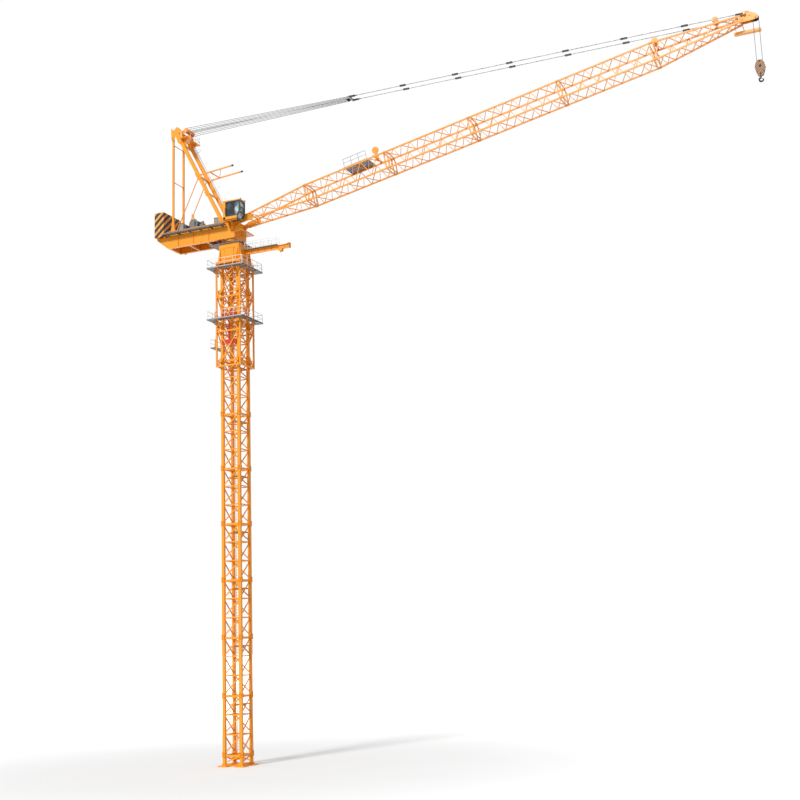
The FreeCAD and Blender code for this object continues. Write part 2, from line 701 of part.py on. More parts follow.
def aframe_legs():
    """Two inclined box legs, joined by cross-beams, on foot blocks."""
    along = (LEG_TOP - LEG_FOOT).normalize()
    pieces = []
    for side in (-1, 1):
        y = side * AFRAME_HALF
        pieces.append(bar(on_leg(60, y), on_leg(LEG_TOP_HEIGHT, y), LEG_WIDTH, LEG_THICKNESS,
                          V(1, 0, 0)))
        pieces.append(box(LEG_FOOT_X - 170, LEG_FOOT_X + 130, y - 60, y + 60,
                          DECK_TOP, DECK_TOP + 130))
    for height, depth in ((BACKSTOP_HEIGHT - 60, 110.0), (LEG_TOP_HEIGHT - 500, 110.0),
                          (1900.0, 80.0)):
        centre = on_leg(height, 0)
        pieces.append(bar(centre + V(0, -AFRAME_HALF, 0), centre + V(0, AFRAME_HALF, 0),
                          depth, depth, along))
    return fuse(pieces)


def aframe_ties():
    """Upright rear ties with their cross-ties and foot brackets."""
    top = DECK_TOP + LEG_TOP_HEIGHT + 60
    pieces = []
    for side in (-1, 1):
        y = side * AFRAME_HALF
        pieces.append(box(TIE_X - TIE_WIDTH / 2, TIE_X + TIE_WIDTH / 2,
                          y - TIE_THICKNESS / 2, y + TIE_THICKNESS / 2, DECK_TOP, top))
        pieces.append(plate([(TIE_X - 130, DECK_TOP), (TIE_X + 130, DECK_TOP),
                             (TIE_X + 70, DECK_TOP + 520), (TIE_X - 70, DECK_TOP + 520)],
                            y - TIE_THICKNESS / 2 - 8, y + TIE_THICKNESS / 2 + 8))
        edge = (side * (AFRAME_HALF + TIE_THICKNESS / 2), side * (AFRAME_HALF + LEG_THICKNESS / 2))
        pieces.append(box(TIE_X - 45, TIE_X + 45, min(edge), max(edge), top - 150, top - 30))
    for height in (2950.0, 5180.0):
        pieces.append(rod(V(TIE_X, -AFRAME_HALF, DECK_TOP + height),
                          V(TIE_X, AFRAME_HALF, DECK_TOP + height), 26))
    return fuse(pieces)


def aframe_struts():
    """Thin struts from the legs' middle down to the deck, one with its rope-guide bracket."""
    inner = AFRAME_HALF - LEG_THICKNESS / 2
    radius = 27.0
    foot = V(STRUT_FOOT_X, 0, FLOOR_TOP)
    top = on_leg(BACKSTOP_HEIGHT, 0) + V(-20, 0, 40)
    solids = []
    for side in (-1, 1):
        offset = V(0, side * (inner - radius - 6), 0)
        pieces = [rod(foot + offset, top + offset, radius)]
        pieces.append(box(foot.x - 60, foot.x + 60, offset.y - 40, offset.y + 40,
                          FLOOR_TOP, FLOOR_TOP + 70))
        edge = (offset.y, side * inner)
        pieces.append(box(top.x - 60, top.x + 60, min(edge), max(edge), top.z - 110, top.z + 10))
        if side > 0:
            knee = foot + (top - foot) * 0.36 + offset
            pieces.append(bar(knee - V(0, 0, 110), knee + V(0, 0, 110), 130, 60, V(1, 0, 0)))
            end = V(-2150, offset.y, FLOOR_TOP)
            pieces.append(rod(knee, end, radius))
            pieces.append(box(end.x - 70, end.x + 70, end.y - 40, end.y + 40, end.z, end.z + 60))
        solids.append(fuse(pieces).common(box(-5000, 1000, -2000, 2000, FLOOR_TOP, FLOOR_TOP + 9000)))
    return solids


def aframe_head():
    """Head plates on both legs, the beam between them and the luffing sheaves."""
    z = DECK_TOP
    outline = [(TIE_X - 110, z + 6200), (TIE_X + 60, z + 6030), (TIE_X + 280, z + 6225),
               (TIE_X + 450, z + 6110), (-3080, z + 5930), (-3010, z + 5480),
               (-3160, z + 5120), (-3330, z + 5230), (TIE_X + 190, z + 5700),
               (TIE_X + 80, z + 5440), (TIE_X - 80, z + 5440)]
    pieces = []
    for side in (-1, 1):
        inner = side * (AFRAME_HALF + LEG_THICKNESS / 2)
        outer = side * (AFRAME_HALF + LEG_THICKNESS / 2 + HEAD_THICKNESS / 2)
        pieces.append(plate(outline, min(inner, outer), max(inner, outer)))
    reach = AFRAME_HALF + LEG_THICKNESS / 2
    pieces.append(box(TIE_X + 160, TIE_X + 420, -reach, reach, z + 5700, z + 5960))
    sheave_z = z + HEAD_SHEAVE_HEIGHT
    cheeks = LUFF_ROPES_HALF_HEAD + 60
    for y in (-cheeks, cheeks):
        pieces.append(plate([(TIE_X + 380, z + 5740), (HEAD_SHEAVE_X + 60, sheave_z - 130),
                             (HEAD_SHEAVE_X + 130, sheave_z), (HEAD_SHEAVE_X + 60, sheave_z + 130),
                             (TIE_X + 380, z + 5950)], y - 15, y + 15))
    pieces.append(rod(V(HEAD_SHEAVE_X, -cheeks, sheave_z), V(HEAD_SHEAVE_X, cheeks, sheave_z), 36))
    for share in LUFF_SHARES:
        y = share * LUFF_ROPES_HALF_HEAD
        pieces.append(rod(V(HEAD_SHEAVE_X, y - 30, sheave_z), V(HEAD_SHEAVE_X, y + 30, sheave_z),
                          HEAD_SHEAVE_RADIUS))
    return fuse(pieces)


AFRAME_PLATFORM_Z = 5420.0


def aframe_platform():
    """Small platform across the front of the head, on two brackets."""
    z = DECK_TOP + AFRAME_PLATFORM_Z
    leg_front = on_leg(AFRAME_PLATFORM_Z, 0).x + LEG_WIDTH * 0.56
    pieces = [box(leg_front, leg_front + 420, -760, 760, z, z + 40)]
    for side in (-1, 1):
        y = side * (AFRAME_HALF - 30)
        pieces.append(plate([(leg_front, z + 20), (leg_front + 400, z + 20),
                             (leg_front + 130, z - 230)], y - 12, y + 12))
    return fuse(pieces)


def jib_backstop():
    """Two arms that stop the raised jib, with a cross tube and a diagonal."""
    root = on_leg(BACKSTOP_HEIGHT, 0)
    tip = V(BACKSTOP_TIP_X, 0, root.z + BACKSTOP_RISE)
    pieces = []
    for side in (-1, 1):
        y = V(0, side * AFRAME_HALF, 0)
        pieces.append(bar(root + y, tip + y, 66, 66))
        pieces.append(rod(tip + y - V(160, 0, 12), tip + y, 46))
    third = (tip - root) * 0.34
    middle = (tip - root) * 0.66
    pieces.append(bar(root + third - V(0, AFRAME_HALF, 0), root + third + V(0, AFRAME_HALF, 0),
                      50, 50))
    pieces.append(bar(root + third + V(0, AFRAME_HALF, 0), root + middle - V(0, AFRAME_HALF, 0),
                      34, 34))
    return fuse(pieces)


# ---------------------------------------------------------------- cab
CAB_Y_IN = -CAB_INNER
CAB_Y_OUT = -CAB_INNER - CAB_WIDTH
CAB_Z0 = DECK_TOP + CAB_FLOOR
CAB_Z1 = CAB_Z0 + CAB_HEIGHT


def cab_outline(inset):
    """Side outline of the cab: upright back, leaning front above a slanted chin."""
    return [(CAB_REAR + inset, CAB_Z0 + inset), (CAB_FRONT - CAB_NOSE - inset, CAB_Z0 + inset),
            (CAB_FRONT - inset, CAB_Z0 + CAB_CHIN), (CAB_FRONT - inset, CAB_Z1 - inset),
            (CAB_REAR + inset, CAB_Z1 - inset)]


def cab_frame():
    """Hollow cab body: floor, roof, rear wall, corner posts and an entrance at the back."""
    shell = plate(cab_outline(0), CAB_Y_OUT, CAB_Y_IN)
    inside = plate(cab_outline(CAB_WALL), CAB_Y_OUT + CAB_WALL, CAB_Y_IN - CAB_WALL)
    shell = shell.cut(inside)
    side_window = [(CAB_REAR + 110, CAB_Z0 + 190), (CAB_FRONT - 200, CAB_Z0 + 190),
                   (CAB_FRONT - 80, CAB_Z0 + CAB_CHIN + 40), (CAB_FRONT - 80, CAB_Z1 - 80),
                   (CAB_REAR + 110, CAB_Z1 - 80)]
    shell = shell.cut(plate(side_window, CAB_Y_OUT - 10, CAB_Y_IN + 10))
    front = box(CAB_FRONT - CAB_WALL * 1.5, CAB_FRONT + 20, CAB_Y_OUT + 70, CAB_Y_IN - 70,
                CAB_Z0 + CAB_CHIN + 30, CAB_Z1 - 80)
    shell = shell.cut(front)
    chin = V(CAB_NOSE, 0, CAB_CHIN).normalize()
    low = V(CAB_FRONT - CAB_NOSE, (CAB_Y_OUT + CAB_Y_IN) / 2, CAB_Z0)
    chin_cut = bar(low + chin * 70, low + chin * (math.hypot(CAB_NOSE, CAB_CHIN) - 50),
                   CAB_WALL * 3, CAB_WIDTH - 140)
    return shell.cut(chin_cut)


def cab_windows():
    """Panes set inside the cab's side, front and chin openings."""
    side = [(CAB_REAR + 90, CAB_Z0 + 170), (CAB_FRONT - 215, CAB_Z0 + 170),
            (CAB_FRONT - 60, CAB_Z0 + CAB_CHIN + 60), (CAB_FRONT - 60, CAB_Z1 - 60),
            (CAB_REAR + 90, CAB_Z1 - 60)]
    outer = CAB_Y_OUT + CAB_WALL
    inner = CAB_Y_IN - CAB_WALL
    panes = [plate(side, outer, outer + GLASS), plate(side, inner - GLASS, inner)]
    gap = GLASS + 2
    panes.append(box(CAB_FRONT - CAB_WALL - GLASS, CAB_FRONT - CAB_WALL, outer + gap, inner - gap,
                     CAB_Z0 + CAB_CHIN + 10, CAB_Z1 - 60))
    low = CAB_FRONT - CAB_NOSE - CAB_WALL
    high = CAB_FRONT - CAB_WALL
    step = GLASS * 1.3
    panes.append(plate([(low, CAB_Z0 + CAB_WALL), (high, CAB_Z0 + CAB_CHIN),
                        (high - step, CAB_Z0 + CAB_CHIN), (low - step, CAB_Z0 + CAB_WALL)],
                       outer + gap, inner - gap))
    return panes


def cab_support():
    """Bracket frame that hangs the cab on the girder's side."""
    top = CAB_Z0
    pieces = []
    for x in (CAB_REAR + 60, DECK_FRONT - 60):
        pieces.append(box(x, x + 60, CAB_Y_OUT + 60, -GIRDER_OUTER, top - 70, top))
        corner = [(-CAB_Y_IN + 200, top - 70), (GIRDER_OUTER, top - 70), (GIRDER_OUTER, top - 420)]
        knee = Part.Face(Part.makePolygon([V(x, -y, z) for y, z in corner + corner[:1]]))
        pieces.append(knee.extrude(V(20, 0, 0)))
    pieces.append(box(CAB_REAR + 60, CAB_FRONT - CAB_NOSE - 60, CAB_Y_OUT + 60, CAB_Y_OUT + 120,
                      top - 70, top))
    pieces.append(box(CAB_REAR + 60, DECK_FRONT, CAB_Y_IN - 60, CAB_Y_IN, top - 70, top))
    pieces.append(box(CAB_REAR + 60, DECK_FRONT, -GIRDER_OUTER - 20, -GIRDER_OUTER,
                      top - 420, top))
    return fuse(pieces)


# ---------------------------------------------------------------- jib (drawn flat, foot pin at 0)
def half_width(s):
    """Half the distance between chord centres across the jib, at a length along it."""
    if s > SECTIONS_END:
        share = (s - SECTIONS_END) / TIP_LENGTH
        return JIB_WIDTH / 2 + (TIP_WIDTH - JIB_WIDTH) / 2 * share
    return JIB_WIDTH / 2


def half_depth(s):
    """Half the distance between the upper and lower chords' centres."""
    if s < BUTT_LENGTH:
        share = (s - FOOT_PLATE_LENGTH) / (BUTT_LENGTH - FOOT_PLATE_LENGTH)
        return FOOT_DEPTH / 2 + (JIB_DEPTH - FOOT_DEPTH) / 2 * max(share, 0.0)
    if s > SECTIONS_END:
        share = (s - SECTIONS_END) / TIP_LENGTH
        return JIB_DEPTH / 2 + (TIP_DEPTH - JIB_DEPTH) / 2 * share
    return JIB_DEPTH / 2


def corner(s, y_side, z_side):
    """Centre of one chord at a length along the jib."""
    return V(s, y_side * half_width(s), z_side * half_depth(s))


CORNERS = ((-1, -1), (-1, 1), (1, 1), (1, -1))


def jib_ring(s, size):
    """Square frame round the jib's section at one length."""
    points = [corner(s, y, z) for y, z in CORNERS]
    return [bar(points[n], points[(n + 1) % 4], size, size, V(1, 0, 0)) for n in range(4)]


def jib_lattice(start, end, bays, rings):
    """Four chords with zigzag lacing on every face and frames at the given lengths."""
    bars = [bar(corner(start, y, z), corner(end, y, z), CHORD, CHORD, V(0, 1, 0))
            for y, z in CORNERS]
    step = (end - start) / bays
    for n in range(4):
        a, b = CORNERS[n], CORNERS[(n + 1) % 4]
        across = V(1, 0, 0).cross(corner(start, *b) - corner(start, *a))
        for bay in range(bays):
            low = start + bay * step
            bars.append(bar(corner(low, *a), corner(low + step / 2, *b), LACING, LACING, across))
            bars.append(bar(corner(low + step / 2, *b), corner(low + step, *a), LACING, LACING,
                            across))
    for s in rings:
        bars += jib_ring(s, FRAME_BAR)
    slab = box(start, end, -JIB_WIDTH, JIB_WIDTH, -JIB_DEPTH, JIB_DEPTH)
    return fuse(bars).common(slab)


def jib_section(length, bays):
    """One parallel section of the jib, from 0 to its length."""
    inset = FRAME_BAR / 2 + 60
    lattice = jib_lattice(BUTT_LENGTH, BUTT_LENGTH + length, bays,
                          (BUTT_LENGTH + inset, BUTT_LENGTH + length - inset))
    lattice.translate(V(-BUTT_LENGTH, 0, 0))
    return lattice


def jib_butt():
    """Tapered butt section with solid foot plates bored for the foot pins."""
    lattice = jib_lattice(FOOT_PLATE_LENGTH, BUTT_LENGTH, 4, (FOOT_PLATE_LENGTH + 60, BUTT_LENGTH - 85))
    pieces = [lattice]
    low = FOOT_DEPTH / 2 + CHORD / 2
    for side in (-1, 1):
        y = side * FOOT_PIN_Y
        chord_y = side * JIB_WIDTH / 2
        pieces.append(plate([(-70, -50), (-70, 50), (150, low), (FOOT_PLATE_LENGTH + 200, low),
                             (FOOT_PLATE_LENGTH + 200, -low), (150, -low)],
                            y - FOOT_PLATE / 2, y + FOOT_PLATE / 2))
        edge = (y, chord_y + side * CHORD / 2)
        pieces.append(box(FOOT_PLATE_LENGTH - 250, FOOT_PLATE_LENGTH + 100, min(edge), max(edge),
                          -low, low))
    body = fuse(pieces)
    bores = [rod(V(0, side * FOOT_PIN_Y - FOOT_PLATE, 0), V(0, side * FOOT_PIN_Y + FOOT_PLATE, 0),
                 FOOT_PIN_RADIUS) for side in (-1, 1)]
    return body.cut(Part.makeCompound(bores))


def jib_tip():
    """Tapered tip section."""
    return jib_lattice(SECTIONS_END, TIP_END, 5, (SECTIONS_END + 85, TIP_END - 40))


HEAD_START = TIP_END


def jib_head():
    """Head plates that carry the head sheave and the pendant pins."""
    pieces = []
    outline = [(HEAD_START, -150), (HEAD_START, 190), (TIP_END + 120, 330), (SHEAVE_S - 330, 330),
               (SHEAVE_S + 40, 40), (SHEAVE_S + 130, -80), (SHEAVE_S + 100, SHEAVE_N - 90),
               (SHEAVE_S - 90, SHEAVE_N - 90), (TIP_END + 30, -170)]
    for side in (-1, 1):
        y = side * HEAD_PLATE_Y
        pieces.append(plate(outline, y - HEAD_PLATE / 2, y + HEAD_PLATE / 2))
        edge = (side * (HEAD_PLATE_Y - HEAD_PLATE / 2), side * (TIP_WIDTH / 2 + CHORD / 2))
        pieces.append(box(TIP_END, TIP_END + 60, min(edge), max(edge), -150 - CHORD / 2,
                          150 + CHORD / 2))
    inner = HEAD_PLATE_Y
    pieces.append(rod(V(SHEAVE_S, -inner, SHEAVE_N), V(SHEAVE_S, inner, SHEAVE_N),
                      SHAFT_RADIUS - BEARING_CLEARANCE))
    pieces.append(box(TIP_END, TIP_END + 60, -inner, inner, -120, 190))
    pieces.append(box(TIP_END + 100, TIP_END + 140, -inner, inner, 250, 320))
    pin = PENDANT_HALF + 40
    pieces.append(rod(V(PENDANT_S, -pin, PENDANT_N), V(PENDANT_S, pin, PENDANT_N), 30))
    return fuse(pieces)


TIP_PLATFORM_DEPTH = 120.0


def jib_tip_platform():
    """Service platform hung level under the far side of the jib's head."""
    run = V(math.cos(JIB_ANGLE), 0, -math.sin(JIB_ANGLE))
    width = 230.0
    hanger_y = TIP_WIDTH / 2 + 15
    start = V(TIP_END - 450, hanger_y + width / 2 - 25, -420)
    pieces = [bar(start, start + run * 1250, TIP_PLATFORM_DEPTH, width)]
    for x in (TIP_END - 330, TIP_END + 30):
        top = -half_depth(x) if x < TIP_END else -half_depth(TIP_END) - CHORD / 2
        pieces.append(box(x - 17, x + 17, hanger_y - 17, hanger_y + 17,
                          start.z - (x - start.x) * math.tan(JIB_ANGLE), top))
    return fuse(pieces)


PLATFORM_START = 6830.0
PLATFORM_END = 8250.0


def jib_platform():
    """Grating between the upper chords with a handrail on its near side."""
    top = JIB_DEPTH / 2 + CHORD / 2
    edge = JIB_WIDTH / 2 + CHORD / 2
    floor = box(PLATFORM_START, PLATFORM_END, -edge, edge, top, top + 30)
    rail = rail_run(V(PLATFORM_START + 30, -edge + 20, top + 25),
                    V(PLATFORM_END - 30, -edge + 20, top + 25), 4, RAIL_HEIGHT)
    return fuse([floor, rail])


SHIELD_BELOW = 100.0         # rollers smaller than this stand between shield-shaped plates
ROLLERS = ((8600.0, 560.0, 170.0, 50.0), (24080.0, 230.0, 70.0, 300.0), (27050.0, 240.0, 70.0, 260.0))


def jib_rollers():
    """Rope guide sheave on its post and two rope rollers, on cross-bars over the top chords."""
    solids = []
    for s, height, radius, width in ROLLERS:
        top = half_depth(s - 40) + CHORD / 2
        reach = half_width(s) + CHORD / 2
        pieces = [box(s - 40, s + 40, -reach, reach, top, top + 50)]
        axis_z = top + height
        for side in (-1, 1):
            y = side * (width / 2 + 14)
            if radius > SHIELD_BELOW:
                outline = [(110, 20 - height), (50, 40)]
            else:
                outline = [(60, 20 - height), (155, -30), (140, 75), (70, 130)]
            pieces.append(plate([(s - x, axis_z + z) for x, z in outline]
                                + [(s + x, axis_z + z) for x, z in reversed(outline)],
                                y - 14, y + 14))
        pieces.append(rod(V(s, -width / 2 - 20, axis_z), V(s, width / 2 + 20, axis_z), radius))
        solids.append(fuse(pieces))
    return solids


# ---------------------------------------------------------------- ropes and hook
PENDANT_PIN = jib_point(PENDANT_S, PENDANT_N)
HEAD_AXIS = V(HEAD_SHEAVE_X, 0, DECK_TOP + HEAD_SHEAVE_HEIGHT)
PENDANT_RUN = (HEAD_AXIS - PENDANT_PIN).normalize()
YOKE_POINT = PENDANT_PIN + PENDANT_RUN * PENDANT_LENGTH
PENDANT_UP = V(0, 1, 0).cross(PENDANT_RUN)


def pendant_lines():
    """Two pendants of linked bars, from the jib's head pins to the floating yoke."""
    lines = []
    eye = 62.0
    links = 7
    for side in (-1, 1):
        y = V(0, side * PENDANT_HALF, 0)
        start = PENDANT_PIN + y
        end = YOKE_POINT + y
        pieces = [rod(start + PENDANT_RUN * (eye - 20), end, PENDANT_RADIUS)]
        pieces.append(rod(start - V(0, 26, 0), start + V(0, 26, 0), eye))
        spacing = PENDANT_LENGTH / links
        for number in range(1, links + 1):
            middle = start + PENDANT_RUN * (spacing * number - 60)
            pieces.append(bar(middle - PENDANT_RUN * 230, middle + PENDANT_RUN * 60, 70, 46,
                              PENDANT_UP))
        line = fuse(pieces)
        bore = rod(start - V(0, 60, 0), start + V(0, 60, 0), 30 + BEARING_CLEARANCE)
        lines.append(line.cut(bore))
    return lines


def yoke():
    """Floating spreader block that joins the pendants to the luffing ropes."""
    half = PENDANT_HALF + 40
    start = YOKE_POINT + PENDANT_RUN * 30
    pieces = [bar(start - V(0, half, 0), start + V(0, half, 0), YOKE_DEPTH, 60, PENDANT_UP)]
    start = YOKE_POINT + PENDANT_RUN * 20
    end = start + PENDANT_RUN * YOKE_LENGTH
    for y in (-LUFF_ROPES_HALF_YOKE - 28, LUFF_ROPES_HALF_YOKE + 28):
        side = V(0, y, 0)
        pieces.append(bar(start + side, end + side + PENDANT_RUN * 60, 90, 24, PENDANT_UP))
    reach = LUFF_ROPES_HALF_YOKE + 30
    pieces.append(rod(end - V(0, reach, 0), end + V(0, reach, 0), 26))
    pieces.append(rod(end - V(0, reach - 14, 0), end + V(0, reach - 14, 0), YOKE_SHEAVE_RADIUS))
    return fuse(pieces)


def luffing_ropes():
    """Rope falls, one above and one below each sheave of the yoke and of the A-frame's head."""
    start = YOKE_POINT + PENDANT_RUN * (YOKE_LENGTH + 20)
    ropes = []
    for share in LUFF_SHARES:
        for side in (-1, 1):
            low = PENDANT_UP * side * (YOKE_SHEAVE_RADIUS + ROPE_RADIUS)
            high = PENDANT_UP * side * (HEAD_SHEAVE_RADIUS + ROPE_RADIUS + 0.5)
            ropes.append(rod(start + low + V(0, share * LUFF_ROPES_HALF_YOKE, 0),
                             HEAD_AXIS + high + V(0, share * LUFF_ROPES_HALF_HEAD, 0),
                             ROPE_RADIUS))
    return ropes


HEAD_SHEAVE = jib_point(SHEAVE_S, SHEAVE_N)
SHEAVE_RADIUS = FALL_SPACING / 2 + SHEAVE_RIM
BLOCK_SHEAVE_Z = HEAD_SHEAVE.z - FALL_LENGTH - 130.0
BLOCK_TOP = BLOCK_SHEAVE_Z + 300.0
BLOCK_BOTTOM = BLOCK_TOP - BLOCK_HEIGHT


def grooved_sheave(centre, hole):
    """Sheave with a rope groove, its axis along Y."""
    outer = SHEAVE_RADIUS
    pitch = FALL_SPACING / 2 - ROPE_RADIUS - 0.5
    half = SHEAVE_WIDTH / 2
    profile = [V(hole, -half, 0), V(outer, -half, 0), V(pitch, -ROPE_RADIUS, 0),
               V(pitch, ROPE_RADIUS, 0), V(outer, half, 0), V(hole, half, 0)]
    face = Part.Face(Part.makePolygon(profile + profile[:1]))
    wheel = face.revolve(V(0, 0, 0), V(0, 1, 0), 360)
    wheel.translate(centre)
    return wheel


def head_sheave():
    """Sheave at the jib's head, running on the head plates' pin."""
    return grooved_sheave(HEAD_SHEAVE, SHAFT_RADIUS)


def hoist_ropes():
    """The two falls between the head sheave and the hook block's sheave."""
    ropes = []
    for side in (-1, 1):
        x = HEAD_SHEAVE.x + side * FALL_SPACING / 2
        ropes.append(rod(V(x, 0, BLOCK_SHEAVE_Z), V(x, 0, HEAD_SHEAVE.z), ROPE_RADIUS))
    return ropes


def hook_block():
    """Two cheeks with rounded corners, spacers, the block's sheave and the shank's bearing."""
    x = HEAD_SHEAVE.x
    half = BLOCK_WIDTH / 2
    top, low = BLOCK_TOP, BLOCK_BOTTOM
    outline = [(x - 90, top), (x + 90, top), (x + half - 40, top - 170), (x + half, top - 360),
               (x + half - 60, low + 190), (x + 110, low), (x - 110, low),
               (x - half + 60, low + 190), (x - half, top - 360), (x - half + 40, top - 170)]
    pieces = []
    for side in (-1, 1):
        y0, y1 = side * BLOCK_GAP / 2, side * (BLOCK_GAP / 2 + BLOCK_CHEEK)
        pieces.append(plate(outline, min(y0, y1), max(y0, y1)))
    gap = BLOCK_GAP / 2 + 5
    pieces.append(rod(V(x, -gap, BLOCK_SHEAVE_Z), V(x, gap, BLOCK_SHEAVE_Z), SHAFT_RADIUS + 5))
    pieces.append(grooved_sheave(V(x, 0, BLOCK_SHEAVE_Z), SHAFT_RADIUS))
    pieces.append(box(x - 60, x + 60, -gap, gap, top - 60, top - 20))
    crosshead = box(x - 100, x + 100, -gap, gap, low, low + 150)
    body = fuse(pieces + [crosshead])
    shank = Part.makeCylinder(HOOK_SHANK_RADIUS + BEARING_CLEARANCE, 170, V(x, 0, low - 10))
    nut_room = box(x - 62, x + 62, -BLOCK_GAP / 2 + 1, BLOCK_GAP / 2 - 1, low + 80, low + 140)
    return body.cut(shank).cut(nut_room)


HOOK_DROP = 62.0


def hook():
    """Single hook with its shank and nut, free to turn about the vertical."""
    x = HEAD_SHEAVE.x
    low = BLOCK_BOTTOM
    centre = low - HOOK_DROP - HOOK_OUTER
    half = HOOK_THICKNESS / 2
    ring = rod(V(x, -half, centre), V(x, half, centre), HOOK_OUTER)
    bowl = rod(V(x + 6, -half - 5, centre), V(x + 6, half + 5, centre), HOOK_INNER)
    mouth = plate([(x + 8, centre + 4), (x + 30, centre + HOOK_OUTER + 40),
                   (x + HOOK_OUTER + 60, centre + HOOK_OUTER + 40),
                   (x + HOOK_OUTER + 60, centre + 24)], -half - 5, half + 5)
    body = ring.cut(bowl).cut(mouth)
    neck = plate([(x - 60, centre + 60), (x - 34, low - 8), (x + 34, low - 8),
                  (x + 20, centre + HOOK_INNER + 12), (x - 10, centre + HOOK_INNER + 6)],
                 -half, half)
    shank = Part.makeCylinder(HOOK_SHANK_RADIUS, 110, V(x, 0, low - 20))
    nut = Part.makeCylinder(HOOK_SHANK_RADIUS + 8, 30, V(x, 0, low + 90))
    return fuse([body, neck, shank, nut])


# ---------------------------------------------------------------- build
def main():
    os.makedirs("parts", exist_ok=True)
    save("foundation_frame", foundation_frame())
    save("mast_foot", mast_foot())
    section = mast_lattice(SECTION_PITCH, PANELS_PER_SECTION)
    for number in range(SECTION_COUNT):
        save(f"mast_section_{number + 1}", raised(section, FOOT_HEIGHT + number * SECTION_PITCH))
    save("mast_top_section", raised(mast_lattice(TOP_SECTION_HEIGHT, PANELS_PER_SECTION),
                                    SECTIONS_TOP))

    side = raised(cage_side(True), CAGE_BOTTOM)
    infill = raised(cage_side(False), CAGE_BOTTOM)
    save("cage_side_right", side)
    save("cage_side_left", turned(side, 2))
    save("cage_side_front", turned(infill, 1))
    save("cage_side_rear", turned(infill, 3))
    save("cage_platforms", cage_platforms())
    save("cage_railings", cage_railings())
    save("climbing_gear", climbing_gear())

    save("slewing_support", slewing_support())
    save("slewing_platform", slewing_platform())
    save("monorail_beam", monorail_beam())
    save("monorail_walkway", monorail_walkway())
    save("monorail_railing", monorail_railing())

    girder = deck_girder()
    save("girder_right", girder)
    save("girder_left", mirrored(girder))
    save("deck_frame", deck_frame())
    save("turntable", turntable())
    save("front_step", front_step())
    save("deck_walkways", deck_walkways())
    save("ballast_blocks", ballast_blocks())
    save("winch_frames", [winch_frame(0), winch_frame(1)])
    save("luffing_drum", drum(0))
    save("hoist_drum", drum(1))

    legs = aframe_legs()
    ties = aframe_ties()
    save("aframe_legs", legs)
    save("aframe_ties", ties)
    save("aframe_struts", [strut.cut(legs) for strut in aframe_struts()])
    head = aframe_head().cut(legs).cut(ties)
    save("aframe_head", head)
    save("aframe_platform", aframe_platform().cut(legs).cut(head))
    save("jib_backstop", jib_backstop().cut(legs))

    save("cab_frame", cab_frame())
    save("cab_windows", cab_windows())
    save("cab_support", cab_support())

    save("jib_butt", luffed(jib_butt()))
    parallel = jib_section(JIB_SECTION, JIB_BAYS)
    for number in range(JIB_SECTION_COUNT):
        piece = parallel.copy()
        piece.translate(V(BUTT_LENGTH + number * JIB_SECTION, 0, 0))
        save(f"jib_section_{number + 1}", luffed(piece))
    tip = jib_tip()
    save("jib_tip_section", luffed(tip))
    save("jib_head", luffed(jib_head()))
    save("jib_tip_platform", luffed(jib_tip_platform().cut(tip)))
    save("jib_platform", luffed(jib_platform()))
    save("jib_rollers", luffed(Part.makeCompound(jib_rollers())))

    save("pendant_lines", pendant_lines())
    save("pendant_yoke", yoke())
    save("luffing_ropes", luffing_ropes())
    save("head_sheave", head_sheave())
    save("hoist_ropes", hoist_ropes())
    save("hook_block", hook_block())
    save("hook", hook())
    print("pivot", PIVOT_X, PIVOT_Z, "pendant pin", PENDANT_PIN, "yoke", YOKE_POINT)
    print("luffing sheave", HEAD_AXIS, "head sheave", HEAD_SHEAVE, "block", BLOCK_TOP, BLOCK_BOTTOM)


main()
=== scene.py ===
"""Luffing tower crane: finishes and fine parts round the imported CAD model, as a Blender add-on."""

import json
import math

import bpy
from bpy.props import FloatProperty, FloatVectorProperty, IntProperty, PointerProperty
from mathutils import Matrix, Vector

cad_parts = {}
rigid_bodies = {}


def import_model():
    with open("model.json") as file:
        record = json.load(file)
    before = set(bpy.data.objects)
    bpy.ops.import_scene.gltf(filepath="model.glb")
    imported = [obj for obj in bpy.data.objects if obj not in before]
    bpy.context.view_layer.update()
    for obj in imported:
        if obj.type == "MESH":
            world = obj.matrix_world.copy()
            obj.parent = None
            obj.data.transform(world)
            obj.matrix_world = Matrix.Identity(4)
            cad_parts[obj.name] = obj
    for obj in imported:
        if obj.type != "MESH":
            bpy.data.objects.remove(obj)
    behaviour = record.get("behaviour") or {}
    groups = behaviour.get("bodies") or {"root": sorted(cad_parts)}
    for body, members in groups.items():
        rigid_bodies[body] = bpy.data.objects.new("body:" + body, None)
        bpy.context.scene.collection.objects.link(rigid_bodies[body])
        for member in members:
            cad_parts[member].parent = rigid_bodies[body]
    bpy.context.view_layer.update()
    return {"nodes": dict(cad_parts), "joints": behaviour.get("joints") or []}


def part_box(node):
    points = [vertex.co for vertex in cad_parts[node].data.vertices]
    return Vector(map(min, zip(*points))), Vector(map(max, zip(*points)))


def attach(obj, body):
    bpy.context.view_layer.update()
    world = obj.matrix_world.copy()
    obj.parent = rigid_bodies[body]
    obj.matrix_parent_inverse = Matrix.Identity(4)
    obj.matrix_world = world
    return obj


bl_info = {
    "name": "Luffing tower crane",
    "version": (1, 0, 0),
    "blender": (4, 5, 0),
    "location": "3D View > Sidebar > Crane",
    "description": "Adds paint, ropes, ladders, bolts and machinery details"
                   " to the crane's CAD model",
    "category": "Object",
}

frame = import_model()
JOINTS = {joint["name"]: joint for joint in frame["joints"]}
MAST, UPPER, JIB = "mast", "upperworks", "jib"
X, Y, Z = Vector((1, 0, 0)), Vector((0, 1, 0)), Vector((0, 0, 1))


def corners(node):
    """Lowest and highest corner of a CAD node as vectors."""
    low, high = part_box(node)
    return Vector(low), Vector(high)


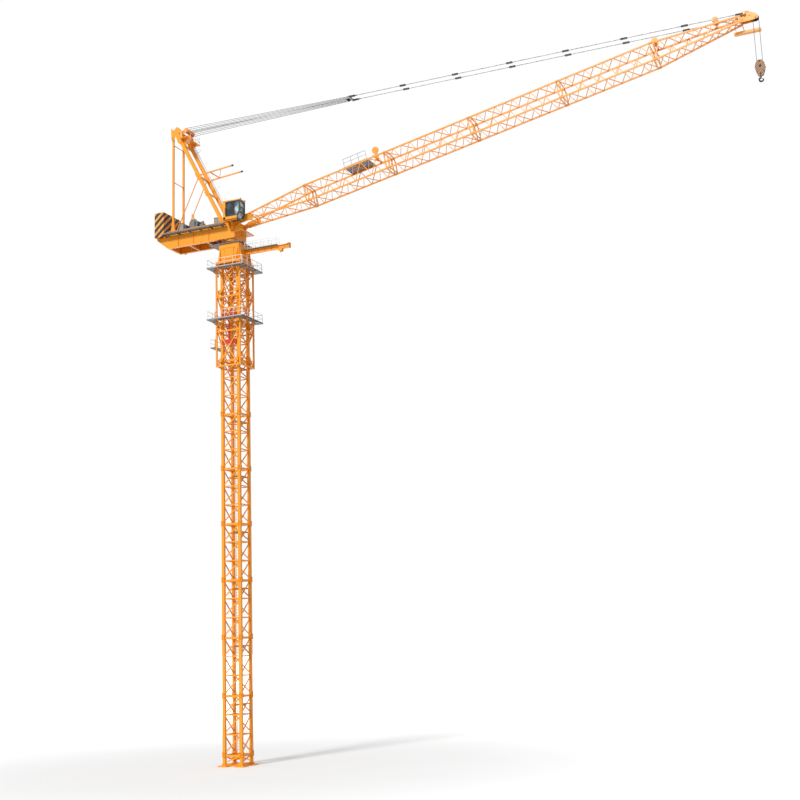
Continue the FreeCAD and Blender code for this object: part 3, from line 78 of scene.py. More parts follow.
def joint_place(name):
    """Point that a joint turns about."""
    return Vector(JOINTS[name]["pos_m"])


# Places read from the frame
MAST_SECTIONS = sorted((node for node in frame["nodes"] if node.startswith("mast_section_")),
                       key=lambda node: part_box(node)[0][2])
SECTION_HEIGHTS = [corners(node)[0].z for node in MAST_SECTIONS]
SECTION_HEIGHTS.append(corners("mast_top_section")[0].z)
MAST_TOP = corners("mast_top_section")[1].z
MAST_OUTER = corners("mast_foot")[1].x
POST_WIDTH = 0.15
POST_LINE = MAST_OUTER - POST_WIDTH / 2
CAGE_OUTER = corners("cage_side_right")[1].x
CAGE_LOW = corners("cage_side_right")[0].z
WALKWAY_OUTER = corners("cage_platforms")[1].x
DECK_LOW, DECK_HIGH = corners("girder_right")
RING_CENTRE = joint_place("slewing")
JIB_PIVOT = joint_place("luff")
JIB_FIRST_JOINT = 4.40          # along the jib from its foot pin
JIB_SECTION = 4.87
JIB_JOINTS = 5
JIB_HALF_WIDTH = 0.531
JIB_HALF_DEPTH = 0.4605
HEAD_AXLE = Vector((-2.96, 0, DECK_HIGH.z + 6.02))
PENDANT_LENGTH = 20.9
PENDANT_LINKS = 7
PENDANT_SIDE = 0.245
SHEAVE_SHARES = (-1, -1 / 3, 1 / 3, 1)
LEG_FOOT = Vector((-0.43, 0, DECK_HIGH.z))
LEG_TOP_X = -3.29
LEG_HEIGHT = 5.56
JIB_REST_ANGLE = math.radians(11.53)
JIB_FRAME = Matrix.Translation(JIB_PIVOT) @ Matrix.Rotation(-JIB_REST_ANGLE, 4, "Y")
QUARTER_TURNS = [Matrix.Rotation(math.radians(90 * turn), 4, "Z") for turn in range(4)]


# ------------------------------------------------------------------ sizes and colours to change
def length(name, description, default):
    """A length property in metres."""
    return FloatProperty(name=name, description=description, default=default, min=0.001,
                         subtype="DISTANCE", unit="LENGTH")


def colour(name, description, default):
    """A colour property."""
    return FloatVectorProperty(name=name, description=description, default=default, size=3,
                               min=0.0, max=1.0, subtype="COLOR")


class CraneSizes(bpy.types.PropertyGroup):
    """Sizes of the fine parts."""
    bolt: length("Bolt head", "Radius of the bolt heads on the splices", 0.014)
    ladder_width: length("Ladder width", "Distance between a ladder's stiles", 0.21)
    rung_pitch: length("Rung pitch", "Distance between a ladder's rungs", 0.148)
    rail: length("Handrail tube", "Radius of the added handrail tubes", 0.011)
    toe_board: length("Toe board", "Height of the boards round the walkways", 0.075)
    rope: length("Rope", "Radius of the winch ropes", 0.012)
    rope_turns: IntProperty(name="Rope turns", description="Turns of rope wound on a drum",
                            default=20, min=4, max=40)


class CraneColours(bpy.types.PropertyGroup):
    """Colours of the finishes."""
    paint: colour("Crane paint", "Main orange paint", (0.88, 0.32, 0.004))
    rust: colour("Primer", "Primer and rust where the paint is chipped", (0.20, 0.055, 0.02))
    grating: colour("Grating", "Galvanised gratings", (0.24, 0.24, 0.24))
    rail: colour("Handrail", "Pale handrails", (0.72, 0.72, 0.71))
    dark: colour("Warning black", "Dark stripes", (0.018, 0.016, 0.014))
    bright: colour("Warning bright", "Bright stripes", (0.80, 0.33, 0.05))
    machine: colour("Machinery", "Winches and boxes", (0.17, 0.17, 0.16))
    cab: colour("Cab panels", "Dark cab panels", (0.045, 0.055, 0.062))
    steel: colour("Dark steel", "Forged and cast parts", (0.030, 0.030, 0.032))
    rope: colour("Wire rope", "Greased wire rope", (0.11, 0.115, 0.12))
    pendant: colour("Pendants", "Pendant bars", (0.30, 0.31, 0.32))
    red: colour("Red steel", "Climbing gear and slewing motors", (0.52, 0.035, 0.012))


def sizes():
    """The scene's crane sizes."""
    return bpy.context.scene.crane_sizes


def colours():
    """The scene's crane colours."""
    return bpy.context.scene.crane_colours


# ------------------------------------------------------------------ finishes
class Value:
    """A socket in a finish; arithmetic on it adds Math nodes."""

    def __init__(self, finish, socket):
        self.finish = finish
        self.socket = socket

    def math(self, operation, *others):
        values = dict(enumerate((self,) + others))
        return self.finish.node("ShaderNodeMath", {"operation": operation}, values)

    def __add__(self, other):
        return self.math("ADD", other)

    def __radd__(self, other):
        return self.math("ADD", other)

    def __sub__(self, other):
        return self.math("SUBTRACT", other)

    def __rsub__(self, other):
        return (self * -1) + other

    def __mul__(self, other):
        return self.math("MULTIPLY", other)

    def __rmul__(self, other):
        return self.math("MULTIPLY", other)

    def __truediv__(self, other):
        return self.math("DIVIDE", other)

    def __mod__(self, other):
        return self.math("FLOORED_MODULO", other)

    def __gt__(self, other):
        return self.math("GREATER_THAN", other)

    def __lt__(self, other):
        return self.math("LESS_THAN", other)


class Finish:
    """One material: a Principled shader and short ways to the nodes that feed it."""

    def __init__(self, name, metallic=0.0, roughness=0.5, coat=0.0):
        self.material = bpy.data.materials.new(name)
        self.material.use_nodes = True
        self.tree = self.material.node_tree
        self.shader = self.tree.nodes["Principled BSDF"]
        self.shader.inputs["Metallic"].default_value = metallic
        self.shader.inputs["Roughness"].default_value = roughness
        self.shader.inputs["Coat Weight"].default_value = coat
        self.place = self.node("ShaderNodeTexCoord", {}, {}, "Object")

    def node(self, kind, settings, values, out=0):
        """Adds a node: its settings first, then the values or links of its sockets."""
        node = self.tree.nodes.new(kind)
        for name, setting in settings.items():
            if name == "stops":
                ramp = node.color_ramp.elements
                while len(ramp) < len(setting):
                    ramp.new(1.0)
                for stop, (position, tint) in zip(ramp, setting):
                    stop.position = position
                    stop.color = (*tint, 1.0)
            else:
                setattr(node, name, setting)
        for name, value in values.items():
            if isinstance(value, Value):
                self.tree.links.new(value.socket, node.inputs[name])
            else:
                node.inputs[name].default_value = value
        return Value(self, node.outputs[out])

    def feed(self, name, value):
        """Links a value to one of the shader's inputs."""
        self.tree.links.new(value.socket, self.shader.inputs[name])

    def axes(self):
        """The three coordinates of the place on the object."""
        split = self.tree.nodes.new("ShaderNodeSeparateXYZ")
        self.tree.links.new(self.place.socket, split.inputs[0])
        return [Value(self, split.outputs[n]) for n in range(3)]

    def noise(self, scale, detail=2.0, stretch=None):
        """Noise on the object's coordinates, from 0 to 1."""
        place = self.place
        if stretch:
            place = self.node("ShaderNodeMapping", {}, {"Vector": place, "Scale": stretch})
        return self.node("ShaderNodeTexNoise", {}, {"Vector": place, "Scale": scale,
                                                    "Detail": detail, "Roughness": 0.55})

    def between(self, value, low, high):
        """A value brought from the range low..high to 0..1, with soft ends."""
        return self.node("ShaderNodeMapRange", {"interpolation_type": "SMOOTHSTEP"},
                         {"Value": value, "From Min": low, "From Max": high})

    def mix(self, share, first, second):
        """Colour between two colours or colour values."""
        values = {"Factor": share}
        for name, tint in (("A", first), ("B", second)):
            values[name] = tint if isinstance(tint, Value) else (*tint, 1.0)
        node = self.tree.nodes.new("ShaderNodeMix")
        node.data_type = "RGBA"
        sockets = {"Factor": node.inputs[0], "A": node.inputs[6], "B": node.inputs[7]}
        for name, value in values.items():
            if isinstance(value, Value):
                self.tree.links.new(value.socket, sockets[name])
            else:
                sockets[name].default_value = value
        return Value(self, node.outputs[2])

    def bump(self, height, distance, strength=1.0):
        """Relief on the surface, its height in metres being value times distance."""
        relief = self.node("ShaderNodeBump", {}, {"Height": height, "Distance": distance,
                                                  "Strength": strength})
        self.feed("Normal", relief)


def shade(tint, factor):
    """A colour made lighter or darker."""
    return tuple(min(channel * factor, 1.0) for channel in tint)


def painted(name, tint, wear=0.5, gloss=0.36):
    """Sprayed paint on steel: fading, rain streaks, chips down to the primer, orange peel."""
    finish = Finish(name, roughness=gloss, coat=0.15)
    fade = finish.noise(0.7, 3.0)
    streak = finish.between(finish.noise(5.0, 4.0, (3.0, 3.0, 0.25)), 0.50, 0.72)
    chip = finish.between(finish.noise(26.0, 6.0), 0.70 - 0.03 * wear, 0.735)
    base = finish.mix(fade, shade(tint, 0.90), shade(tint, 1.10))
    base = finish.mix(streak * (0.16 * wear), base, shade(tint, 0.42))
    base = finish.mix(chip * (0.75 * wear), base, tuple(colours().rust))
    finish.feed("Base Color", base)
    finish.feed("Roughness", gloss + streak * 0.14 + chip * 0.25)
    finish.bump(finish.noise(160.0, 2.0) * 0.35 - chip, 0.0012, 0.5)
    return finish.material


def metal(name, tint, metallic=0.75, rough=0.45, grain=60.0):
    """Bare or greased metal with brushed grain and dark patches."""
    finish = Finish(name, metallic=metallic)
    grime = finish.between(finish.noise(9.0, 4.0), 0.38, 0.70)
    grain_value = finish.noise(grain, 3.0, (1.0, 1.0, 0.2))
    finish.feed("Base Color", finish.mix(grime, shade(tint, 1.25), shade(tint, 0.62)))
    finish.feed("Roughness", rough + grime * 0.2 + grain_value * 0.12)
    finish.bump(grain_value, 0.0008, 0.6)
    return finish.material


def grated(name, tint, bar_pitch, slat_pitch):
    """Galvanised open grating: bright bearing bars, openings painted near black as the shade seen
    through them, spangle.
    """
    finish = Finish(name, metallic=0.35, roughness=0.55)
    x, y = finish.axes()[:2]
    across = finish.between((x % bar_pitch) / bar_pitch, 0.42, 0.62)
    along = finish.between((y % slat_pitch) / slat_pitch, 0.30, 0.45)
    hole = across * along
    spangle = finish.noise(34.0, 3.0)
    bright = finish.mix(spangle, shade(tint, 0.85), shade(tint, 1.30))
    # Painted shade: the openings are coloured almost black in place of the shade under the grating.
    finish.feed("Base Color", finish.mix(hole * 0.85, bright, shade(tint, 0.16)))
    finish.feed("Roughness", 0.42 + spangle * 0.2 + hole * 0.2)
    finish.bump(1 - hole, 0.006)
    return finish.material


def striped(name, bright, dark, slope, pitch, gloss=0.45):
    """Diagonal warning stripes that rise along +X and +Y, on worn paint."""
    finish = Finish(name, roughness=gloss)
    x, y, z = finish.axes()
    run = (z - x * slope - y * slope) / pitch + finish.noise(3.0, 2.0) * 0.05
    band = finish.between((run % 1.0 - 0.5).math("ABSOLUTE"), 0.265, 0.285)
    fade = finish.noise(2.5, 4.0)
    grime = finish.between(finish.noise(11.0, 5.0), 0.58, 0.74)
    light = finish.mix(fade, shade(bright, 0.84), shade(bright, 1.12))
    base = finish.mix(band, dark, light)
    base = finish.mix(grime * 0.45, base, tuple(colours().rust))
    finish.feed("Base Color", base)
    finish.feed("Roughness", gloss + grime * 0.3)
    finish.bump(finish.noise(70.0, 4.0) + band * 0.4, 0.0015, 0.6)
    return finish.material


def stranded(name, tint, run_axis, pitch):
    """Twisted wire rope along one axis: light strands, dark grease between them."""
    finish = Finish(name, metallic=0.55)
    places = finish.axes()
    along = places[run_axis]
    around = places[(run_axis + 1) % 3] + places[(run_axis + 2) % 3]
    strand = ((along / pitch + around * 14.0) % 1.0 - 0.5).math("ABSOLUTE") * 2
    lay = finish.between(strand, 0.15, 0.85)
    dirt = finish.noise(6.0, 3.0)
    worn = finish.mix(lay, shade(tint, 0.35), shade(tint, 1.75))
    finish.feed("Base Color", finish.mix(dirt * 0.5, worn, shade(tint, 0.5)))
    finish.feed("Roughness", 0.62 - lay * 0.22)
    finish.bump(lay, 0.004)
    return finish.material


def glazed(name):
    """Cab glass: dark side panes, pale front panes with a painted reflection of the sky, and patchy
    painted reflections on all panes.
    """
    finish = Finish(name, roughness=0.06, coat=0.4)
    x, z = finish.axes()[::2]
    low, high = corners("cab_windows")
    front = finish.between(x - (z - low.z) * 0.30, high.x - 0.62, high.x - 0.46)
    front = front * finish.between(x, high.x - 0.34, high.x - 0.26)
    # Painted reflection: patches of sky mixed into the glass colour, pale on the front panes and
    # faint on the side panes.
    painted_reflection = finish.between(finish.noise(2.6, 3.0), 0.40, 0.62)
    pale = finish.mix(painted_reflection, (0.10, 0.17, 0.18), (0.62, 0.78, 0.79))
    dark = finish.mix(painted_reflection, (0.028, 0.034, 0.038), (0.075, 0.088, 0.095))
    finish.feed("Base Color", finish.mix(front, dark, pale))
    finish.feed("Roughness", 0.05 + finish.noise(40.0, 3.0) * 0.06)
    finish.feed("Alpha", 0.86 - front * 0.10)
    return finish.material


FINISHES = {}


def mix_finishes():
    """Makes every finish once."""
    tints = colours()
    paint = tuple(tints.paint)
    FINISHES.update({
        "paint": painted("crane_orange_paint", paint),
        "edge": painted("walkway_edge_grey", (0.46, 0.46, 0.45), 0.3, 0.5),
        # Shaded copy of the crane paint, darkened to 0.55: painted shade for the landings inside the
        # mast.
        "shade_painted_orange": painted("shaded_orange_paint", shade(paint, 0.55)),
        "rail": painted("pale_handrail_paint", tuple(tints.rail), 0.3, 0.45),
        "grating": grated("galvanised_grating", tuple(tints.grating), 0.06, 0.30),
        "ballast": striped("ballast_stripes", tuple(tints.bright), tuple(tints.dark), 0.9, 0.40),
        "block": striped("hook_block_stripes", shade(tints.bright, 0.62), tuple(tints.dark),
                         0.9, 0.125),
        "machine": painted("machinery_grey_paint", tuple(tints.machine), 0.6, 0.42),
        "pale_machine": painted("pale_grey_paint", shade(tints.machine, 1.6), 0.5, 0.45),
        "cab": painted("cab_charcoal_paint", tuple(tints.cab), 0.25, 0.30),
        "steel": metal("dark_forged_steel", tuple(tints.steel), 0.6, 0.42),
        "bright_steel": metal("galvanised_bolts", shade(tints.grating, 1.1), 0.8, 0.35),
        "red": painted("red_oxide_paint", tuple(tints.red), 0.7, 0.4),
        "falls": stranded("luffing_wire_rope", tuple(tints.rope), 0, 0.20),
        "hoist": stranded("hoist_wire_rope", tuple(tints.rope), 2, 0.09),
        "wound": stranded("wound_wire_rope", tuple(tints.rope), 1, 0.05),
        "pendant": metal("pendant_grey_steel", tuple(tints.pendant), 0.55, 0.40, 30.0),
        "glass": glazed("cab_glass"),
        "seat": painted("seat_fabric_grey", (0.03, 0.03, 0.035), 0.1, 0.85),
    })


NODE_FINISHES = {
    "grating": ("cage_platforms", "slewing_platform", "monorail_walkway", "deck_walkways",
                "jib_platform"),
    "rail": ("cage_railings", "monorail_railing"),
    "ballast": ("ballast_blocks",),
    "machine": ("winch_frames", "luffing_drum", "hoist_drum"),
    "red": ("climbing_gear",),
    "cab": ("cab_frame",),
    "glass": ("cab_windows",),
    "pendant": ("pendant_lines", "pendant_yoke"),
    "falls": ("luffing_ropes",),
    "hoist": ("hoist_ropes",),
    "steel": ("head_sheave", "hook"),
    "block": ("hook_block",),
}


# ------------------------------------------------------------------ the modeller's bench
def clear_selection():
    """Leaves edit mode and deselects everything."""
    if bpy.context.object and bpy.context.object.mode != "OBJECT":
        bpy.ops.object.mode_set(mode="OBJECT")
    bpy.ops.object.select_all(action="DESELECT")


def turn_to(along, across=None):
    """Euler angles that put local Z along one direction and local Y across it."""
    along = along.normalized()
    side = across or (Y if abs(along.y) < 0.9 else X)
    first = side.cross(along).normalized()
    second = along.cross(first)
    return Matrix((first, second, along)).transposed().to_euler()


class Bench:
    """One new piece: primitives are added in edit mode and shaped there, then it is put down."""

    def __init__(self, name):
        clear_selection()
        self.piece = bpy.data.objects.new(name, bpy.data.meshes.new(name))
        bpy.context.collection.objects.link(self.piece)
        bpy.context.view_layer.objects.active = self.piece
        self.piece.select_set(True)
        bpy.ops.object.mode_set(mode="EDIT")

    def soften(self, edge, segments=1):
        """Bevels the edges of what was just added."""
        if edge:
            bpy.ops.mesh.bevel(offset=edge, segments=segments, affect="EDGES")
        return self

    def block(self, low, high, edge=0.0):
        """A block between two corners, with softened edges."""
        low, high = Vector(low), Vector(high)
        bpy.ops.mesh.primitive_cube_add(size=1, location=(low + high) / 2, scale=high - low)
        return self.soften(edge)

    def bar(self, start, end, depth, width, edge=0.0, across=None):
        """A straight bar; depth is measured at right angles to across."""
        start, end = Vector(start), Vector(end)
        run = end - start
        bpy.ops.mesh.primitive_cube_add(size=1, location=(start + end) / 2,
                                        rotation=turn_to(run, across),
                                        scale=(depth, width, run.length))
        return self.soften(edge)

    def tube(self, start, end, radius, sides=8, edge=0.0):
        """A round bar between two points."""
        start, end = Vector(start), Vector(end)
        run = end - start
        bpy.ops.mesh.primitive_cylinder_add(vertices=sides, radius=radius, depth=run.length,
                                            location=(start + end) / 2, rotation=turn_to(run))
        if edge:
            self.soften(edge)
        return self

    def cone(self, start, end, radius, end_radius, sides=16):
        """A tapered round bar."""
        start, end = Vector(start), Vector(end)
        run = end - start
        bpy.ops.mesh.primitive_cone_add(vertices=sides, radius1=radius, radius2=end_radius,
                                        depth=run.length, location=(start + end) / 2,
                                        rotation=turn_to(run))
        return self

    def dome(self, centre, radius, flatten=1.0, segments=16):
        """A ball, flattened in height."""
        bpy.ops.mesh.primitive_uv_sphere_add(segments=segments, ring_count=segments // 2,
                                             radius=radius, location=centre,
                                             scale=(1, 1, flatten))
        return self

    def panel(self, low, high, frame_width, sink, outward):
        """A block whose outward face has a frame round a sunken field."""
        self.block(low, high)
        self.pick_faces(outward)
        bpy.ops.mesh.inset(thickness=frame_width, depth=0.0)
        bpy.ops.mesh.extrude_region_move(
            TRANSFORM_OT_translate={"value": Vector(outward) * -sink})
        return self

    def pick_faces(self, outward):
        """Keeps selected only those of the last-added faces that look one way."""
        bpy.ops.mesh.select_mode(type="FACE")
        bpy.ops.object.mode_set(mode="OBJECT")
        outward = Vector(outward)
        for face in self.piece.data.polygons:
            face.select = face.select and face.normal.dot(outward) > 0.9
        bpy.ops.object.mode_set(mode="EDIT")

    def bolt(self, base, outward, radius=None, height=None):
        """A hexagonal bolt head with its washer."""
        radius = radius or sizes().bolt
        height = height or radius
        base, outward = Vector(base), Vector(outward)
        self.tube(base, base + outward * height * 0.35, radius * 1.35, 12)
        self.tube(base, base + outward * height * 1.3, radius, 6)
        return self

    def spun(self, profile, centre, axis, steps=32):
        """A turned part: the profile is (distance along the axis, radius) points."""
        axis = Vector(axis)
        side = (X if abs(axis.x) < 0.9 else Z)
        centre = Vector(centre)
        bpy.ops.mesh.select_all(action="DESELECT")
        bpy.ops.object.mode_set(mode="OBJECT")
        mesh = self.piece.data
        first = len(mesh.vertices)
        mesh.vertices.add(len(profile))
        for number, (along, radius) in enumerate(profile):
            mesh.vertices[first + number].co = centre + axis * along + side * radius
            mesh.vertices[first + number].select = True
        mesh.edges.add(len(profile) - 1)
        for number in range(len(profile) - 1):
            edge = mesh.edges[len(mesh.edges) - len(profile) + 1 + number]
            edge.vertices = (first + number, first + number + 1)
            edge.select = True
        bpy.ops.object.mode_set(mode="EDIT")
        bpy.ops.mesh.select_mode(type="VERT")
        bpy.ops.mesh.spin(steps=steps, angle=math.tau, center=centre, axis=axis)
        bpy.ops.mesh.select_linked()
        bpy.ops.mesh.remove_doubles(threshold=0.0002)
        bpy.ops.mesh.normals_make_consistent(inside=False)
        return self

    def placed(self, matrices):
        """Copies what is on the bench to each of these places; the original goes."""
        clear_selection()
        pattern = self.piece.data
        copies = []
        for matrix in matrices:
            mesh = pattern.copy()
            mesh.transform(matrix)
            if matrix.determinant() < 0:
                mesh.flip_normals()
            copy = bpy.data.objects.new(self.piece.name + "_copy", mesh)
            bpy.context.collection.objects.link(copy)
            copies.append(copy)
        name = self.piece.name
        bpy.data.objects.remove(self.piece)
        bpy.data.meshes.remove(pattern)
        for copy in copies:
            copy.select_set(True)
        self.piece = copies[0]
        bpy.context.view_layer.objects.active = self.piece
        if len(copies) > 1:
            bpy.ops.object.join()
        self.piece.name = name
        self.piece.data.name = name
        return self

    def put_down(self, body, finish, slot, smooth=35.0):
        """Finishes the piece, paints it and lets it ride on its body."""
        clear_selection()
        self.piece.select_set(True)
        bpy.context.view_layer.objects.active = self.piece
        if smooth:
            bpy.ops.object.shade_smooth_by_angle(angle=math.radians(smooth))
        self.piece.data.materials.clear()
        self.piece.data.materials.append(FINISHES[finish])
        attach(self.piece, body)
        return self.piece


def move(x=0.0, y=0.0, z=0.0):
    """Matrix that moves by a distance."""
    return Matrix.Translation((x, y, z))


MIRROR_Y = Matrix.Scale(-1, 4, Y)
BOTH_SIDES = (Matrix.Identity(4), MIRROR_Y)


# ------------------------------------------------------------------ operators
class CRANE_OT_finishes(bpy.types.Operator):
    """Mixes the finishes and gives one to every CAD node"""
    bl_idname = "crane.finishes"
    bl_label = "Finishes"

    def execute(self, context):
        mix_finishes()
        chosen = {node: finish for finish, nodes in NODE_FINISHES.items() for node in nodes}
        for name, node in frame["nodes"].items():
            material = FINISHES[chosen.get(name, "paint")]
            if not node.material_slots:
                node.data.materials.append(material)
            for slot in node.material_slots:
                slot.material = material
        return {"FINISHED"}


class CRANE_OT_mast_fittings(bpy.types.Operator):
    """Adds the post splices, ladders and landings of the mast"""
    bl_idname = "crane.mast_fittings"
    bl_label = "Mast fittings"

    def execute(self, context):
        self.splices()
        self.ladders()
        return {"FINISHED"}

    def splices(self):
        """Collars with bolted lugs where one mast section stands on the next."""
        half = POST_WIDTH / 2 + 0.012
        collar = Bench("mast_splices")
        collar.block((-half, -half, -0.15), (half, half, -0.03), 0.006)
        collar.block((-half, -half, 0.03), (half, half, 0.15), 0.006)
        for side in (-1, 1):
            collar.block((side * 0.045 - 0.022, half - 0.005, -0.13),
                         (side * 0.045 + 0.022, half + 0.028, 0.13), 0.005)
            collar.block((half - 0.005, side * 0.045 - 0.022, -0.13),
                         (half + 0.028, side * 0.045 + 0.022, 0.13), 0.005)
            for level in (-0.085, 0.085):
                collar.bolt((side * 0.045, half + 0.028, level), Y)
                collar.bolt((half + 0.028, side * 0.045, level), X)
        places = [turn @ move(POST_LINE, POST_LINE, height)
                  for height in SECTION_HEIGHTS for turn in QUARTER_TURNS]
        collar.placed(places).put_down(MAST, "paint", "crane_orange")

    def ladders(self):
        """A ladder with a landing in each section."""
        pitch = sizes().rung_pitch
        half = sizes().ladder_width / 2
        bottoms = SECTION_HEIGHTS + [MAST_TOP]
        height = bottoms[1] - bottoms[0]
        ladder = Bench("mast_ladders")
        for side in (-1, 1):
            ladder.bar((0.03, side * half, 0.02), (0.03, side * half, height), 0.028, 0.010)
        for number in range(int(height / pitch)):
            rise = 0.06 + number * pitch
            ladder.tube((0.03, -half, rise), (0.03, half, rise), 0.009, 6)
        ladder.placed([move(z=bottom) for bottom in bottoms[:-2]])
        ladder.put_down(MAST, "paint", "crane_orange")
        landing = Bench("mast_landings")
        landing.block((0.10, -0.46, 0.005), (0.46, 0.46, 0.022), 0.002)
        for y in (-0.46, -0.16, 0.16, 0.44):
            landing.block((0.10, y, -0.035), (0.46, y + 0.02, 0.006))
        landing.placed([move(z=bottom - 0.46) for bottom in bottoms[1:-1]])
        # The landings take the orange paint darkened as painted shade.
        landing.put_down(MAST, "shade_painted_orange", "crane_orange")


class CRANE_OT_cage_fittings(bpy.types.Operator):
    """Adds guide rollers, toe boards, brackets and gusset plates to the climbing cage"""
    bl_idname = "crane.cage_fittings"
    bl_label = "Climbing cage fittings"

    def execute(self, context):
        self.rollers()
        self.walkway_edges()
        self.crosshead_ends()
        return {"FINISHED"}

    def rollers(self):
        """Rollers that guide the cage along the mast's posts."""
        guide = Bench("cage_guide_rollers")
        inner = CAGE_OUTER - 0.08
        axle = MAST_OUTER + 0.052
        guide.tube((POST_LINE - 0.05, -axle, 0), (POST_LINE + 0.05, -axle, 0), 0.046, 14, 0.006)
        guide.tube((POST_LINE - 0.085, -axle, 0), (POST_LINE + 0.085, -axle, 0), 0.014, 8)
        for side in (-1, 1):
            x = POST_LINE + side * 0.07
            guide.block((x - 0.008, -inner - 0.01, -0.06), (x + 0.008, -axle + 0.03, 0.06), 0.004)
        guide.block((POST_LINE - 0.11, -inner - 0.03, -0.09), (POST_LINE + 0.11, -inner, 0.09),
                    0.006)
        levels = [CAGE_LOW + share for share in (0.35, 2.35, 4.25)]
        places = [turn @ move(z=level) @ flip for level in levels for turn in QUARTER_TURNS
                  for flip in (Matrix.Identity(4), Matrix.Scale(-1, 4, X))]
        guide.placed(places).put_down(MAST, "paint", "crane_orange")

    def walkway_edges(self):
        """Toe boards round the walkway rings and knee brackets under them."""
        top = corners("cage_platforms")[1].z
        thickness = 0.04
        floors = [top, top - 2.91]
        board = sizes().toe_board
        edge = Bench("cage_toe_boards")
        edge.block((-WALKWAY_OUTER, -WALKWAY_OUTER, -thickness),
                   (WALKWAY_OUTER, -WALKWAY_OUTER + 0.008, board - thickness), 0.002)
        edge.placed([turn @ move(z=floor) for floor in floors for turn in QUARTER_TURNS])
        edge.put_down(MAST, "edge", "grating")
        knee = Bench("cage_platform_brackets")
        knee.bar((0.46, -CAGE_OUTER - 0.01, -0.34), (0.46, -WALKWAY_OUTER + 0.05, -0.06),
                 0.04, 0.03, 0.003, X)
        knee.block((0.44, -WALKWAY_OUTER + 0.02, -0.075), (0.48, -CAGE_OUTER, -0.04), 0.003)
        knee.block((0.40, -CAGE_OUTER - 0.014, -0.40), (0.52, -CAGE_OUTER, -0.28), 0.004)
        for side in (0.42, 0.50):
            knee.bolt((side, -CAGE_OUTER - 0.014, -0.37), -Y, 0.009)
        places = [turn @ move(z=floor) @ flip for floor in floors for turn in QUARTER_TURNS
                  for flip in (Matrix.Identity(4), Matrix.Scale(-1, 4, X))]
        knee.placed(places).put_down(MAST, "paint", "crane_orange")

    def crosshead_ends(self):
        """Guide shoes of the climbing crossheads, outside the cage's near rear corner."""
        low, high = corners("climbing_gear")
        shoe = Bench("crosshead_shoes")
        for middle in (low.z + 0.12, high.z - 0.12):
            shoe.block((-CAGE_OUTER - 0.10, -CAGE_OUTER, middle - 0.24),
                       (-CAGE_OUTER, -CAGE_OUTER + 0.10, middle + 0.24), 0.045)
            for step in (-0.14, 0.0, 0.14):
                shoe.bolt((-CAGE_OUTER - 0.05, -CAGE_OUTER, middle + step), -Y, 0.012)
        shoe.put_down(MAST, "paint", "crane_orange")
        y = (low.y + high.y) / 2
        gear = Bench("climbing_cylinder_fittings")
        gear.tube((0, y, low.z + 0.24), (0, y, low.z + 0.34), 0.054, 18, 0.006)
        gear.tube((0, y, low.z + 0.98), (0, y, low.z + 1.06), 0.052, 18, 0.006)
        gear.tube((0.055, y, low.z + 0.30), (0.055, y, low.z + 1.0), 0.010, 8)
        for side in (-1, 1):
            for middle in (low.z + 0.12, high.z - 0.12):
                gear.block((side * 0.15 - 0.02, low.y - 0.004, middle - 0.10),
                           (side * 0.15 + 0.02, low.y + 0.01, middle + 0.10), 0.004)
                gear.bolt((side * 0.33, low.y, middle), -Y, 0.018)
        gear.put_down(MAST, "red", "red_steel")


